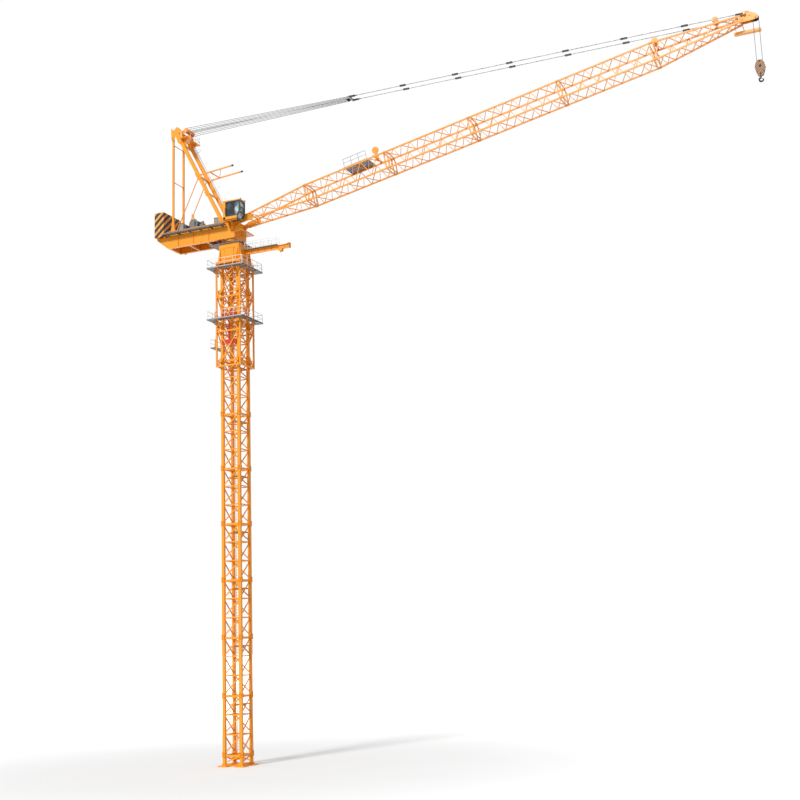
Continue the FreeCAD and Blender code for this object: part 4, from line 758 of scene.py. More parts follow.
class CRANE_OT_support_fittings(bpy.types.Operator):
    """Adds bolts, hatches and teeth round the slewing support, and the monorail's trolley"""
    bl_idname = "crane.support_fittings"
    bl_label = "Slewing support fittings"

    def execute(self, context):
        self.support()
        self.ring()
        self.monorail()
        return {"FINISHED"}

    def support(self):
        """Hatches and flange bolts of the slewing support."""
        wall = 0.62
        top = corners("slewing_platform")[0].z
        base = MAST_TOP + 0.04
        hatch = Bench("support_hatches")
        hatch.panel((-0.30, -wall - 0.025, base + 0.14), (0.30, -wall, top - 0.22), 0.035, 0.015,
                    (0, -1, 0))
        for side in (-1, 1):
            for level in (base + 0.2, top - 0.28):
                hatch.block((side * 0.33 - 0.03, -wall - 0.04, level - 0.03),
                            (side * 0.33 + 0.03, -wall, level + 0.03), 0.006)
        hatch.placed([QUARTER_TURNS[turn] for turn in (0, 2, 3)])
        hatch.put_down(MAST, "paint", "crane_orange")
        bolts = Bench("support_flange_bolts")
        bolts.bolt((0, 0, 0), Z, 0.017)
        line = CAGE_OUTER - 0.045
        spread = [-0.68 + 0.17 * number for number in range(9)]
        bolts.placed([turn @ move(along, -line, base) for turn in QUARTER_TURNS
                      for along in spread if abs(abs(along) - 0.53) > 0.03])
        bolts.put_down(MAST, "bright_steel", "crane_orange")

    def ring(self):
        """Toothed rim of the fixed slewing ring and the bolts of the turning one."""
        radius = 0.56
        low = RING_CENTRE.z - 0.12
        tooth = Bench("slewing_ring_teeth")
        tooth.block((radius - 0.01, -0.013, low), (radius + 0.032, 0.013, low + 0.10), 0.007)
        count = 72
        tooth.placed([Matrix.Rotation(math.tau * n / count, 4, "Z") for n in range(count)])
        tooth.put_down(MAST, "steel", "hook_steel")
        rim = Bench("slewing_ring_bolts")
        rim.bolt((radius, 0, RING_CENTRE.z + 0.065), X, 0.018)
        count = 40
        rim.placed([Matrix.Rotation(math.tau * (n + 0.5) / count, 4, "Z") for n in range(count)])
        rim.put_down(UPPER, "bright_steel", "crane_orange")

    def monorail(self):
        """End stop and trolley of the section monorail."""
        low, high = corners("monorail_beam")
        stop = Bench("monorail_end_stop")
        stop.block((high.x - 0.012, -0.12, high.z - 0.24), (high.x, 0.12, high.z + 0.06), 0.004)
        stop.block((high.x - 0.16, -0.09, high.z), (high.x - 0.012, 0.09, high.z + 0.03), 0.004)
        for y in (-0.09, 0.09):
            for z in (-0.03, -0.19):
                stop.bolt((high.x, y, high.z + z), X, 0.012)
        for number in range(6):
            x = low.x + 0.45 + number * 0.42
            stop.block((x, -0.064, high.z - 0.205), (x + 0.012, 0.064, high.z - 0.026), 0.002)
        stop.put_down(MAST, "paint", "crane_orange")
        trolley = Bench("monorail_trolley")
        x = high.x - 0.55
        flange = high.z - 0.23 + 0.026
        for side in (-1, 1):
            trolley.block((x - 0.11, side * 0.078 - 0.006, flange - 0.16),
                          (x + 0.11, side * 0.078 + 0.006, flange + 0.06), 0.004)
            for step in (-0.06, 0.06):
                trolley.tube((x + step, side * 0.035, flange + 0.03),
                             (x + step, side * 0.072, flange + 0.03), 0.03, 16, 0.004)
        trolley.tube((x, -0.08, flange - 0.12), (x, 0.08, flange - 0.12), 0.014, 10)
        trolley.block((x - 0.03, -0.03, flange - 0.22), (x + 0.03, 0.03, flange - 0.10), 0.01)
        trolley.put_down(MAST, "paint", "crane_orange")


def drum_profile(radius, rim, half, flange, rope, turns):
    """Half section of a rope drum: flanges, and a scalloped layer of rope between them."""
    layer = [(-half - flange, 0.05), (-half - flange, rim), (-half, rim),
             (-half, radius + rope)]
    pitch = 2 * half / turns
    for turn in range(turns):
        start = -half + turn * pitch
        for step in range(1, 5):
            angle = math.pi * step / 4
            layer.append((start + pitch * step / 4,
                          radius + rope + rope * 0.9 * math.sin(angle)))
    layer += [(half, rim), (half + flange, rim), (half + flange, 0.05)]
    return layer


class CRANE_OT_machinery(bpy.types.Operator):
    """Adds motors, brakes, wound rope, cabinets and slewing gear to the machinery deck"""
    bl_idname = "crane.machinery"
    bl_label = "Deck machinery"

    def execute(self, context):
        self.drums()
        self.motors()
        self.boxes()
        self.slewing_gear()
        return {"FINISHED"}

    def drums(self):
        """Rope wound on both drums."""
        for name, radius in (("luffing_drum", 0.15), ("hoist_drum", 0.19)):
            centre = joint_place(name + "_spin")
            rim = corners(name)[1].z - centre.z - 0.006
            rope = sizes().rope
            wound = Bench(name + "_rope")
            profile = drum_profile(radius + 0.03, rim, 0.255, 0.004, rope, sizes().rope_turns)
            wound.spun(profile[3:-3], centre, Y, 40)
            wound.put_down(name, "wound", "rope", 60.0)

    def motors(self):
        """Motors with cooling fins, gearboxes and brakes beside both drums."""
        for name, scale in (("luffing", 0.85), ("hoist", 1.0)):
            centre = joint_place(name + "_drum_spin")
            y = centre.y + 0.345
            motor = Bench(name + "_winch_motor")
            motor.tube((centre.x, y, centre.z), (centre.x, y + 0.07, centre.z), 0.17 * scale, 28,
                       0.010)
            motor.tube((centre.x, y + 0.06, centre.z), (centre.x, y + 0.10, centre.z),
                       0.11 * scale, 24, 0.008)
            count = 8
            for number in range(count):
                angle = math.tau * number / count
                spot = centre + Vector((math.cos(angle), 0, math.sin(angle))) * 0.14 * scale
                motor.bolt((spot.x, y + 0.07, spot.z), Y, 0.011)
            motor.put_down(UPPER, "machine", "machinery_grey")
            floor = corners("winch_frames")[0].z + 0.04
            front = centre.x + 0.21 if name == "hoist" else centre.x - 0.21
            brake = Bench(name + "_winch_gearbox")
            near = centre.y - 0.336
            brake.block((centre.x - 0.14, near - 0.058, floor),
                        (centre.x + 0.14, near, centre.z + 0.13), 0.022)
            brake.tube((front, near - 0.03, floor + 0.10), (front, centre.y + 0.20, floor + 0.10),
                       0.085, 20, 0.010)
            for step in range(9):
                rib = near + 0.06 + step * 0.045
                brake.tube((front, rib, floor + 0.10), (front, rib + 0.014, floor + 0.10), 0.100,
                           20)
            brake.tube((front, centre.y + 0.20, floor + 0.10),
                       (front, centre.y + 0.235, floor + 0.10), 0.095, 20, 0.012)
            brake.put_down(UPPER, "pale_machine" if name == "luffing" else "machine",
                           "machinery_grey")

    def boxes(self):
        """Power unit, control cabinet and cable tray on the deck."""
        floor = DECK_HIGH.z - 0.034
        unit = Bench("hydraulic_unit")
        unit.block((-2.14, -0.22, floor), (-1.90, 0.22, floor + 0.34), 0.02)
        unit.tube((-2.02, -0.06, floor + 0.34), (-2.02, -0.06, floor + 0.52), 0.075, 20, 0.012)
        unit.tube((-2.02, 0.14, floor + 0.34), (-2.02, 0.14, floor + 0.44), 0.045, 16, 0.008)
        for number in range(5):
            x = -2.12 + number * 0.045
            unit.block((x, -0.228, floor + 0.08), (x + 0.022, -0.218, floor + 0.28), 0.002)
        unit.put_down(UPPER, "machine", "machinery_grey")
        cabinet = Bench("control_cabinet")
        cabinet.panel((-1.12, -0.34, floor), (-0.80, 0.10, floor + 0.46), 0.025, 0.010, (0, -1, 0))
        cabinet.block((-1.14, -0.36, floor + 0.46), (-0.78, 0.12, floor + 0.48), 0.006)
        cabinet.block((-0.90, -0.352, floor + 0.22), (-0.88, -0.338, floor + 0.30), 0.003)
        for number in range(6):
            z = floor + 0.08 + number * 0.022
            cabinet.block((-1.06, -0.337, z), (-0.94, -0.326, z + 0.009), 0.001)
        cabinet.put_down(UPPER, "pale_machine", "machinery_grey")
        tray = Bench("cable_tray")
        tray.block((-3.9, 0.40, floor), (-0.8, 0.46, floor + 0.04), 0.004)
        for number in range(14):
            x = -3.85 + number * 0.225
            tray.block((x, 0.385, floor), (x + 0.02, 0.475, floor + 0.052), 0.003)
        tray.put_down(UPPER, "machine", "machinery_grey")

    def slewing_gear(self):
        """Two slewing gear motors hung behind the turntable, with their pinions."""
        gear = Bench("slewing_gear_motors")
        x = -0.785
        for y in (-0.30, 0.30):
            foot = RING_CENTRE.z - 0.105
            gear.tube((x, y, foot + 0.11), (x, y, foot + 0.20), 0.080, 20, 0.010)
            gear.tube((x, y, foot + 0.20), (x, y, foot + 0.32), 0.115, 24, 0.012)
            gear.tube((x, y, foot + 0.32), (x, y, foot + 0.62), 0.082, 24, 0.010)
            gear.dome((x, y, foot + 0.62), 0.082, 0.4, 20)
            gear.block((x - 0.05, y - 0.13, foot + 0.36), (x + 0.05, y - 0.07, foot + 0.48), 0.010)
        gear.block((x - 0.14, -0.48, DECK_LOW.z + 0.02), (x + 0.085, 0.48, DECK_LOW.z + 0.06),
                   0.006)
        gear.put_down(UPPER, "red", "red_steel")
        pinion = Bench("slewing_pinions")
        pinion.tube((x, -0.30, RING_CENTRE.z - 0.10), (x, -0.30, RING_CENTRE.z - 0.005), 0.035, 16)
        count = 12
        for number in range(count):
            angle = math.tau * number / count
            spot = Vector((math.cos(angle), math.sin(angle), 0)) * 0.042
            pinion.block((x + spot.x - 0.008, -0.30 + spot.y - 0.008, RING_CENTRE.z - 0.10),
                         (x + spot.x + 0.008, -0.30 + spot.y + 0.008, RING_CENTRE.z - 0.01), 0.003)
        pinion.placed(BOTH_SIDES)
        pinion.put_down(UPPER, "steel", "hook_steel")


class CRANE_OT_deck_fittings(bpy.types.Operator):
    """Adds handrails, splice plates, ballast fittings and lugs to the deck"""
    bl_idname = "crane.deck_fittings"
    bl_label = "Deck fittings"

    def execute(self, context):
        self.railing()
        self.girders()
        self.ballast()
        return {"FINISHED"}

    def railing(self):
        """Pale handrail along the far walkway, and round its ends."""
        low, high = corners("deck_walkways")
        floor = high.z - 0.036
        radius = sizes().rail
        line = high.y - 0.03
        rail = Bench("deck_railing")
        for rise in (0.26, 0.50):
            rail.tube((low.x + 0.05, line, floor + rise), (high.x - 0.05, line, floor + rise),
                      radius, 8)
            for end in (low.x + 0.05, high.x - 0.05):
                rail.tube((end, line, floor + rise), (end, high.y - 0.33, floor + rise), radius, 8)
        count = 8
        for number in range(count):
            x = low.x + 0.05 + (high.x - low.x - 0.1) * number / (count - 1)
            rail.tube((x, line, floor - 0.02), (x, line, floor + 0.50), radius, 8)
            rail.block((x - 0.025, line - 0.02, floor - 0.03),
                       (x + 0.025, line + 0.02, floor + 0.04), 0.004)
        for end in (low.x + 0.05, high.x - 0.05):
            rail.tube((end, high.y - 0.33, floor), (end, high.y - 0.33, floor + 0.50), radius, 8)
        rail.put_down(UPPER, "rail", "handrail")

    def girders(self):
        """Lifting lugs, splice plates and bolts on the outside of the girders."""
        web = -0.59
        rib = Bench("girder_fittings")
        for x in (-1.78,):
            rib.block((x - 0.10, web - 0.012, DECK_LOW.z + 0.06),
                      (x + 0.10, web, DECK_HIGH.z - 0.26), 0.004)
            for step in range(7):
                for side in (-0.06, 0.06):
                    rib.bolt((x + side, web - 0.012, DECK_LOW.z + 0.12 + step * 0.10), -Y, 0.012)
        for x in (-3.6, -0.2):
            rib.block((x - 0.06, web - 0.05, DECK_LOW.z - 0.045),
                      (x + 0.06, web - 0.02, DECK_LOW.z), 0.012)
        for number in range(9):
            rib.bolt((0.385, -0.60 + number * 0.15, DECK_LOW.z + 0.07), X, 0.014)
            rib.bolt((0.385, -0.60 + number * 0.15, DECK_HIGH.z - 0.62), X, 0.014)
        rib.placed(BOTH_SIDES)
        rib.put_down(UPPER, "paint", "crane_orange")

    def ballast(self):
        """Lifting eyes and tie rods of the ballast slabs."""
        low, high = corners("ballast_blocks")
        eyes = Bench("ballast_fittings")
        step = (high.x - low.x) / 3
        for number in range(3):
            x = low.x + step * (number + 0.5)
            for y in (-0.5, 0.5):
                eyes.bar((x, y - 0.05, high.z - 0.01), (x, y - 0.05, high.z + 0.05), 0.016, 0.016)
                eyes.bar((x, y + 0.05, high.z - 0.01), (x, y + 0.05, high.z + 0.05), 0.016, 0.016)
                eyes.bar((x, y - 0.058, high.z + 0.05), (x, y + 0.058, high.z + 0.05), 0.016, 0.016)
        for y in (-0.62, 0.62):
            for z in (low.z + 0.25, high.z - 0.25):
                eyes.tube((low.x, y, z), (high.x + 0.03, y, z), 0.018, 10)
                eyes.bolt((high.x, y, z), X, 0.034)
        eyes.put_down(UPPER, "steel", "hook_steel")


def leg_point(height, y):
    """Centre of an A-frame leg at a height above the deck."""
    foot = LEG_FOOT + Y * y
    top = Vector((LEG_TOP_X, y, DECK_HIGH.z + LEG_HEIGHT))
    return foot + (top - foot) * (height / LEG_HEIGHT)


LEG_RUN = (leg_point(1.0, 0) - leg_point(0.0, 0)).normalized()
LEG_FRONT = Y.cross(LEG_RUN).normalized()


class CRANE_OT_aframe_fittings(bpy.types.Operator):
    """Adds gussets, pins, ladder, sheave rims and bumpers to the A-frame"""
    bl_idname = "crane.aframe_fittings"
    bl_label = "A-frame fittings"

    def execute(self, context):
        self.gussets()
        self.ladder()
        self.sheaves()
        self.bumpers()
        self.head_rail()
        return {"FINISHED"}

    def gussets(self):
        """Side plates and pins where struts, back-stop and cross-beams meet the legs."""
        outer = 0.52 + 0.065
        plates = Bench("aframe_gussets")
        for height, size in ((3.02, 0.46), (1.90, 0.30), (0.16, 0.26)):
            centre = leg_point(height, -outer - 0.009)
            reach = LEG_RUN * size / 2
            plates.bar(centre - reach, centre + reach, 0.27, 0.018, 0.005, Y)
            for side in (-1, 1):
                for end in (-0.36, 0.36):
                    spot = centre + LEG_RUN * size * end + LEG_FRONT * 0.085 * side
                    plates.bolt((spot.x, spot.y - 0.009, spot.z), -Y, 0.015)
            plates.tube(centre - Y * 0.03, centre + Y * 0.01, 0.045, 20, 0.006)
        tie_x = corners("aframe_ties")[0].x + 0.13
        for height in (0.26, 0.42):
            plates.tube((tie_x, -0.59, DECK_HIGH.z + height), (tie_x, -0.45, DECK_HIGH.z + height),
                        0.030, 18, 0.005)
        head = corners("aframe_head")
        for x, z in ((head[0].x + 0.11, head[1].z - 0.62), (head[0].x + 0.55, head[1].z - 0.42)):
            plates.tube((x, -0.645, z), (x, -0.58, z), 0.05, 20, 0.008)
            plates.bolt((x, -0.645, z), -Y, 0.022)
        plates.placed(BOTH_SIDES)
        plates.put_down(UPPER, "paint", "crane_orange")

    def ladder(self):
        """Ladder with safety hoops up the front of the far leg."""
        half = sizes().ladder_width / 2
        y = 0.52
        off = LEG_FRONT * (0.095 + 0.085)
        start = leg_point(0.35, y) + off
        end = leg_point(5.30, y) + off
        run = end - start
        along = run.normalized()
        pitch = sizes().rung_pitch
        ladder = Bench("aframe_ladder")
        for side in (-half, half):
            ladder.bar(start + Y * side, end + Y * side, 0.030, 0.010, 0.0, Y)
        for number in range(int(run.length / pitch)):
            spot = start + along * (0.06 + number * pitch)
            ladder.tube(spot - Y * half, spot + Y * half, 0.008, 6)
        for number in range(6):
            spot = start + along * (0.5 + number * 0.92)
            ladder.bar(spot - LEG_FRONT * 0.085 - Y * half, spot - Y * half, 0.018, 0.018)
            ladder.bar(spot - LEG_FRONT * 0.085 + Y * half, spot + Y * half, 0.018, 0.018)
            points = []
            for step in range(9):
                angle = math.pi * step / 8
                points.append(spot + Y * (half + 0.045) * math.cos(angle)
                              + LEG_FRONT * 0.28 * math.sin(angle))
            for first, second in zip(points, points[1:]):
                ladder.bar(first, second, 0.006, 0.026, 0.0, along)
        ladder.put_down(UPPER, "rail", "handrail")

    def sheaves(self):
        """Grooved rims of the head sheaves."""
        rim = Bench("aframe_head_sheaves")
        for share in SHEAVE_SHARES:
            for side in (-1, 1):
                profile = [(side * 0.016, 0.05), (side * 0.016, 0.119), (side * 0.028, 0.150),
                           (side * 0.036, 0.150), (side * 0.036, 0.05)]
                rim.spun(profile, HEAD_AXLE + Y * share * 0.32, Y, 36)
        rim.put_down(UPPER, "paint", "crane_orange")

    def bumpers(self):
        """Rubber bumpers and end plates on the back-stop's tips."""
        tip_z = corners("jib_backstop")[1].z - 0.045
        for name, y in (("right", -0.52), ("left", 0.52)):
            bumper = Bench("backstop_bumper_" + name)
            tip = Vector((0.19, y, tip_z))
            bumper.tube((tip.x - 0.015, y, tip.z), (tip.x + 0.010, y, tip.z), 0.062, 20, 0.006)
            bumper.cone((tip.x + 0.010, y, tip.z), (tip.x + 0.075, y, tip.z), 0.056, 0.040, 20)
            bumper.soften(0.006)
            bumper.put_down(UPPER, "steel", "hook_steel")

    def head_rail(self):
        """Pale guard rail round the head platform."""
        low, high = corners("aframe_platform")
        floor = high.z
        radius = sizes().rail
        rail = Bench("aframe_head_rail")
        x = high.x - 0.03
        for rise in (0.20, 0.40):
            rail.tube((x, low.y + 0.03, floor + rise), (x, high.y - 0.03, floor + rise), radius, 8)
            for y in (low.y + 0.03, high.y - 0.03):
                rail.tube((x - 0.30, y, floor + rise), (x, y, floor + rise), radius, 8)
        for y in (low.y + 0.03, high.y - 0.03):
            for post in (x - 0.30, x):
                rail.tube((post, y, floor - 0.02), (post, y, floor + 0.40), radius, 8)
        for y in (-0.25, 0.25):
            rail.tube((x, y, floor - 0.02), (x, y, floor + 0.40), radius, 8)
        rail.put_down(UPPER, "rail", "handrail")


class CRANE_OT_cab_fittings(bpy.types.Operator):
    """Adds the cab's orange frame, roof, seat, controls, wiper and rails"""
    bl_idname = "crane.cab_fittings"
    bl_label = "Cab fittings"

    def execute(self, context):
        low, high = corners("cab_frame")
        self.outer_frame(low, high)
        self.inside(low, high)
        self.outside(low, high)
        return {"FINISHED"}

    def outer_frame(self, low, high):
        """Orange edge members round the dark body."""
        nose = high.x - 0.19
        bars = Bench("cab_orange_frame")
        for y, out in ((low.y, -1), (high.y, 1)):
            near, far = sorted((y - out * 0.02, y + out * 0.012))
            bars.block((low.x - 0.012, near, low.z), (low.x + 0.15, far, high.z), 0.008)
            bars.block((low.x, near, high.z - 0.035), (high.x + 0.010, far, high.z + 0.012), 0.008)
            bars.block((low.x, near, low.z - 0.012), (nose, far, low.z + 0.14), 0.008)
        bars.block((high.x - 0.035, low.y, high.z - 0.05), (high.x + 0.010, high.y, high.z + 0.012),
                   0.008)
        bars.block((low.x, low.y, high.z), (high.x + 0.03, high.y, high.z + 0.028), 0.012)
        bars.block((low.x - 0.012, low.y, low.z - 0.012), (low.x, high.y, high.z), 0.004)
        bars.put_down(UPPER, "paint", "crane_orange")

    def inside(self, low, high):
        """Seat, consoles and joysticks."""
        floor = low.z + 0.045
        y = (low.y + high.y) / 2
        seat = Bench("cab_seat")
        seat.block((low.x + 0.30, y - 0.12, floor + 0.18), (low.x + 0.56, y + 0.12, floor + 0.25),
                   0.025)
        seat.block((low.x + 0.26, y - 0.12, floor + 0.24), (low.x + 0.33, y + 0.12, floor + 0.60),
                   0.028)
        seat.block((low.x + 0.27, y - 0.07, floor + 0.61), (low.x + 0.32, y + 0.07, floor + 0.70),
                   0.02)
        seat.tube((low.x + 0.43, y, floor), (low.x + 0.43, y, floor + 0.18), 0.05, 16, 0.008)
        for side in (-1, 1):
            seat.block((low.x + 0.36, y + side * 0.17 - 0.035, floor + 0.26),
                       (low.x + 0.64, y + side * 0.17 + 0.035, floor + 0.34), 0.012)
            seat.tube((low.x + 0.58, y + side * 0.17, floor + 0.34),
                      (low.x + 0.58, y + side * 0.17, floor + 0.42), 0.010, 10)
            seat.dome((low.x + 0.58, y + side * 0.17, floor + 0.43), 0.018, 1.0, 12)
        seat.put_down(UPPER, "seat", "cab_body")

    def outside(self, low, high):
        """Wiper, side grab rail, lamps, step and roof unit."""
        y = (low.y + high.y) / 2
        trim = Bench("cab_trim")
        trim.bar((high.x - 0.022, y - 0.02, low.z + 0.38), (high.x - 0.022, y + 0.10, low.z + 0.72),
                 0.010, 0.010)
        trim.tube((high.x - 0.03, y - 0.02, low.z + 0.38), (high.x - 0.005, y - 0.02, low.z + 0.38),
                  0.014, 10)
        trim.block((high.x - 0.055, low.y + 0.06, low.z + 0.60), (high.x - 0.015, high.y - 0.06,
                                                                 low.z + 0.625), 0.004)
        for rise in (0.30, 0.62):
            trim.tube((low.x + 0.14, low.y - 0.045, low.z + rise),
                      (low.x + 0.14, low.y + 0.0, low.z + rise), 0.008, 8)
        trim.tube((low.x + 0.14, low.y - 0.045, low.z + 0.26), (low.x + 0.14, low.y - 0.045,
                                                                low.z + 0.66), 0.009, 10)
        for side in (low.y + 0.06, high.y - 0.06):
            trim.tube((high.x + 0.005, side, high.z + 0.045), (high.x + 0.05, side, high.z + 0.045),
                      0.028, 16, 0.004)
        trim.block((low.x + 0.12, y - 0.16, high.z + 0.028),
                   (low.x + 0.48, y + 0.16, high.z + 0.10), 0.018)
        trim.put_down(UPPER, "cab", "cab_body")


class CRANE_OT_jib_fittings(bpy.types.Operator):
    """Adds pin joints, gussets, head details and the guide sheave to the jib"""
    bl_idname = "crane.jib_fittings"
    bl_label = "Jib fittings"

    def execute(self, context):
        self.joints()
        self.guide_sheave()
        self.head()
        return {"FINISHED"}

    def joints(self):
        """Forked and pinned chord joints between the jib's sections."""
        lug = Bench("jib_chord_pins")
        for side in (-1, 1):
            lug.block((-0.10, side * 0.046 - 0.008, -0.042), (0.10, side * 0.046 + 0.008, 0.042),
                      0.010)
        lug.tube((-0.04, -0.062, 0), (-0.04, 0.062, 0), 0.022, 14, 0.003)
        lug.tube((0.05, -0.062, 0), (0.05, 0.062, 0), 0.014, 10, 0.002)
        places = []
        for number in range(JIB_JOINTS):
            along = JIB_FIRST_JOINT + JIB_SECTION * number
            for y in (-JIB_HALF_WIDTH, JIB_HALF_WIDTH):
                for n in (-JIB_HALF_DEPTH, JIB_HALF_DEPTH):
                    places.append(JIB_FRAME @ move(along, y, n))
        lug.placed(places).put_down(JIB, "paint", "crane_orange")

    def guide_sheave(self):
        """Rim, hub and bolts of the rope guide sheave on its post."""
        centre = Vector((8.60, 0, JIB_HALF_DEPTH + 0.036 + 0.56))
        wheel = Bench("jib_guide_sheave")
        profile = [(-0.030, 0.06), (-0.030, 0.185), (-0.018, 0.188), (0, 0.172), (0.018, 0.188),
                   (0.030, 0.185), (0.030, 0.06)]
        wheel.spun(profile, centre, Y, 40)
        wheel.tube(centre - Y * 0.06, centre + Y * 0.06, 0.045, 20, 0.006)
        for number in range(6):
            angle = math.tau * number / 6
            spot = centre + Vector((math.cos(angle), 0, math.sin(angle))) * 0.11
            wheel.tube(spot - Y * 0.034, spot + Y * 0.034, 0.018, 12)
        wheel.placed([JIB_FRAME]).put_down(JIB, "paint", "crane_orange")

    def head(self):
        """Pins, ribs and rope keepers of the jib's head."""
        trim = Bench("jib_head_fittings")
        plate = 0.13 + 0.018
        for x, z, radius in ((28.41, 0.175, 0.055), (28.83, -0.17, 0.062), (28.25, -0.05, 0.04),
                             (28.60, 0.02, 0.035)):
            trim.tube((x, -plate - 0.028, z), (x, -plate + 0.004, z), radius, 22, 0.006)
            trim.bolt((x, -plate - 0.028, z), -Y, radius * 0.42)
        trim.bar((28.22, -plate - 0.012, 0.24), (28.62, -plate - 0.012, 0.24), 0.03, 0.024, 0.004,
                 Y)
        trim.placed([JIB_FRAME, JIB_FRAME @ MIRROR_Y]).put_down(JIB, "paint", "crane_orange")


class CRANE_OT_pendant_fittings(bpy.types.Operator):
    """Adds dark link plates and pins along the pendants and on the yoke"""
    bl_idname = "crane.pendant_fittings"
    bl_label = "Pendant fittings"

    def execute(self, context):
        start = joint_place("pendant_swing")
        run = (HEAD_AXLE - start).normalized()
        links = Bench("pendant_links")
        spacing = PENDANT_LENGTH / PENDANT_LINKS
        for number in range(1, PENDANT_LINKS + 1):
            middle = start + run * (spacing * number - 0.145) - Y * PENDANT_SIDE
            for side in (-1, 1):
                spot = middle + Y * side * 0.030
                links.bar(spot - run * 0.17, spot + run * 0.17, 0.088, 0.012, 0.004, Y)
            for step in (-0.12, 0.12):
                spot = middle + run * step
                links.tube(spot - Y * 0.046, spot + Y * 0.046, 0.022, 14, 0.003)
        first = start - Y * PENDANT_SIDE
        links.bar(first + run * 0.05, first + run * 0.42, 0.075, 0.062, 0.010, Y)
        links.placed(BOTH_SIDES)
        links.put_down("pendants", "steel", "hook_steel")
        yoke = Bench("yoke_sheaves")
        hub = start + run * (PENDANT_LENGTH + 0.21)
        for share in SHEAVE_SHARES:
            for side in (-1, 1):
                profile = [(side * 0.015, 0.03), (side * 0.015, 0.069), (side * 0.020, 0.092),
                           (side * 0.026, 0.092), (side * 0.026, 0.03)]
                yoke.spun(profile, hub + Y * share * 0.12, Y, 28)
        yoke.put_down("pendants", "steel", "hook_steel")
        for name, side in (("yoke_cross_links", -1), ("yoke_cross_links_left", 1)):
            fork = Bench(name)
            base = start + run * PENDANT_LENGTH + Y * side * PENDANT_SIDE
            fork.bar(base - run * 0.16, base + run * 0.10, 0.10, 0.075, 0.012, Y)
            fork.tube(base - Y * 0.055, base + Y * 0.055, 0.030, 16, 0.004)
            fork.bar(base - run * 0.10, base - run * 0.45, 0.045, 0.045, 0.006, Y)
            fork.put_down("pendants", "steel", "hook_steel")
        return {"FINISHED"}


class CRANE_OT_hook_fittings(bpy.types.Operator):
    """Adds the block's pins and bolts and the hook's latch"""
    bl_idname = "crane.hook_fittings"
    bl_label = "Hook block fittings"

    def execute(self, context):
        low, high = corners("hook_block")
        centre = (low + high) / 2
        x = centre.x
        trim = Bench("hook_block_pins")
        for z, radius in ((high.z - 0.30, 0.055), (high.z - 0.06, 0.024), (low.z + 0.10, 0.04)):
            trim.tube((x, low.y - 0.022, z), (x, low.y + 0.004, z), radius, 20, 0.005)
            trim.bolt((x, low.y - 0.022, z), -Y, radius * 0.45)
        for side in (-1, 1):
            trim.tube((x + side * 0.14, low.y - 0.010, low.z + 0.22),
                      (x + side * 0.14, low.y + 0.004, low.z + 0.22), 0.018, 14, 0.003)
        trim.placed(BOTH_SIDES)
        trim.put_down("hook_block", "steel", "hook_steel")
        low, high = corners("hook")
        latch = Bench("hook_latch")
        latch.bar((x - 0.012, 0, high.z - 0.235), (x + 0.085, 0, low.z + 0.155), 0.016, 0.040,
                  0.004, Y)
        latch.tube((x - 0.012, -0.036, high.z - 0.235), (x - 0.012, 0.036, high.z - 0.235), 0.012,
                   12, 0.002)
        latch.put_down("hook", "steel", "hook_steel")
        return {"FINISHED"}


# Camera settings
CAMERA_PLACE = (34.203, -57.631, 6.012)
CAMERA_YAW = 0.4022
CAMERA_PITCH = 0.1910
CAMERA_ROLL = 0.0324
CAMERA_LENS = 56.14


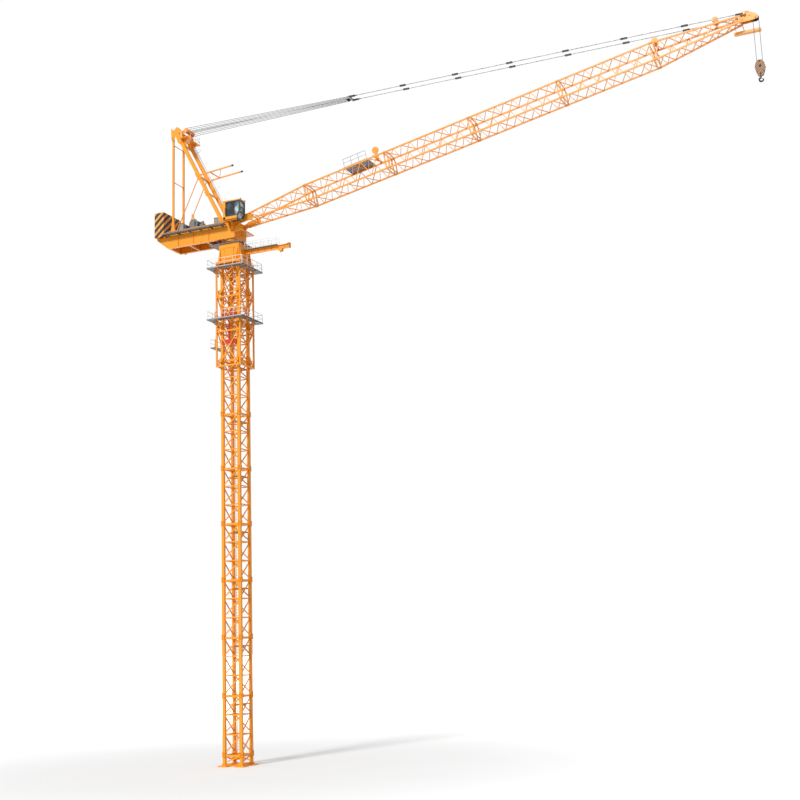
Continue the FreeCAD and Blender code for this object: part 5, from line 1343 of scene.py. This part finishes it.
class CRANE_OT_stage(bpy.types.Operator):
    """Adds the pale floor, the studio light and the camera"""
    bl_idname = "crane.stage"
    bl_label = "Stage"

    def execute(self, context):
        self.floor()
        self.lights(context)
        self.camera(context)
        return {"FINISHED"}

    def floor(self):
        """Wide pale floor that fades into the backdrop."""
        clear_selection()
        bpy.ops.mesh.primitive_circle_add(vertices=96, radius=900, fill_type="NGON",
                                          location=(0, 0, 0))
        ground = bpy.context.object
        ground.name = "studio_floor"
        finish = Finish("studio_floor_pale", roughness=0.9)
        grain = finish.noise(0.15, 2.0)
        x, y = finish.axes()[:2]
        away = (x * x + y * y).math("SQRT")
        finish.feed("Base Color", finish.mix(grain, (0.80, 0.80, 0.80), (0.83, 0.83, 0.83)))
        glow = finish.between(away, 6.0, 60.0)
        finish.feed("Emission Color", finish.mix(glow, (0, 0, 0), (1.0, 1.0, 1.0)))
        finish.shader.inputs["Emission Strength"].default_value = 0.9
        ground.data.materials.append(finish.material)
        ground.visible_diffuse = False

    def lights(self, context):
        """White backdrop, softer lighting and one soft sun from the upper left."""
        world = bpy.data.worlds.new("studio")
        world.use_nodes = True
        tree = world.node_tree
        lighting = tree.nodes["Background"]
        lighting.inputs["Color"].default_value = (1.0, 1.0, 1.0, 1.0)
        lighting.inputs["Strength"].default_value = 0.62
        backdrop = tree.nodes.new("ShaderNodeBackground")
        backdrop.inputs["Color"].default_value = (1.0, 1.0, 1.0, 1.0)
        backdrop.inputs["Strength"].default_value = 1.02
        ray = tree.nodes.new("ShaderNodeLightPath")
        either = tree.nodes.new("ShaderNodeMixShader")
        tree.links.new(ray.outputs["Is Camera Ray"], either.inputs[0])
        tree.links.new(lighting.outputs[0], either.inputs[1])
        tree.links.new(backdrop.outputs[0], either.inputs[2])
        tree.links.new(either.outputs[0], tree.nodes["World Output"].inputs["Surface"])
        context.scene.world = world
        data = bpy.data.lights.new("studio_sun", "SUN")
        data.energy = 2.6
        data.angle = math.radians(12)
        sun = bpy.data.objects.new("studio_sun", data)
        context.collection.objects.link(sun)
        aim = Vector((0.15, 1.0, -0.75))
        sun.rotation_euler = aim.to_track_quat("-Z", "Y").to_euler()

    def camera(self, context):
        """Camera low in front of the crane's right-hand side."""
        data = bpy.data.cameras.new("camera")
        data.lens = CAMERA_LENS
        data.sensor_width = 36.0
        data.clip_end = 2000
        camera = bpy.data.objects.new("camera", data)
        context.collection.objects.link(camera)
        right = Vector((math.cos(CAMERA_YAW), math.sin(CAMERA_YAW), 0))
        level = Vector((-math.sin(CAMERA_YAW), math.cos(CAMERA_YAW), 0))
        ahead = level * math.cos(CAMERA_PITCH) + Z * math.sin(CAMERA_PITCH)
        up = Z * math.cos(CAMERA_PITCH) - level * math.sin(CAMERA_PITCH)
        rolled_right = right * math.cos(CAMERA_ROLL) - up * math.sin(CAMERA_ROLL)
        rolled_up = right * math.sin(CAMERA_ROLL) + up * math.cos(CAMERA_ROLL)
        turn = Matrix((rolled_right, rolled_up, -ahead)).transposed().to_4x4()
        camera.matrix_world = Matrix.Translation(CAMERA_PLACE) @ turn
        context.scene.camera = camera
        context.scene.view_settings.view_transform = "Standard"


OPERATORS = (CRANE_OT_finishes, CRANE_OT_mast_fittings, CRANE_OT_cage_fittings,
             CRANE_OT_support_fittings, CRANE_OT_machinery, CRANE_OT_deck_fittings,
             CRANE_OT_aframe_fittings, CRANE_OT_cab_fittings, CRANE_OT_jib_fittings,
             CRANE_OT_pendant_fittings, CRANE_OT_hook_fittings, CRANE_OT_stage)


class CRANE_PT_parts(bpy.types.Panel):
    """Lists the crane's groups of pieces in the sidebar"""
    bl_idname = "CRANE_PT_parts"
    bl_label = "Tower crane"
    bl_space_type = "VIEW_3D"
    bl_region_type = "UI"
    bl_category = "Crane"

    def draw(self, context):
        column = self.layout.column()
        for group in (context.scene.crane_sizes, context.scene.crane_colours):
            for name in group.__annotations__:
                column.prop(group, name)
        for operator in OPERATORS:
            column.operator(operator.bl_idname)


CLASSES = (CraneSizes, CraneColours) + OPERATORS + (CRANE_PT_parts,)


def register():
    """Registers the classes and the scene's crane settings."""
    for cls in CLASSES:
        bpy.utils.register_class(cls)
    bpy.types.Scene.crane_sizes = PointerProperty(type=CraneSizes)
    bpy.types.Scene.crane_colours = PointerProperty(type=CraneColours)


def unregister():
    """Takes the settings and the classes away again."""
    del bpy.types.Scene.crane_colours
    del bpy.types.Scene.crane_sizes
    for cls in reversed(CLASSES):
        bpy.utils.unregister_class(cls)


def main():
    """Builds everything in order."""
    register()
    for operator in OPERATORS:
        group, name = operator.bl_idname.split(".")
        getattr(getattr(bpy.ops, group), name)()
    clear_selection()


if __name__ == "__main__":
    main()
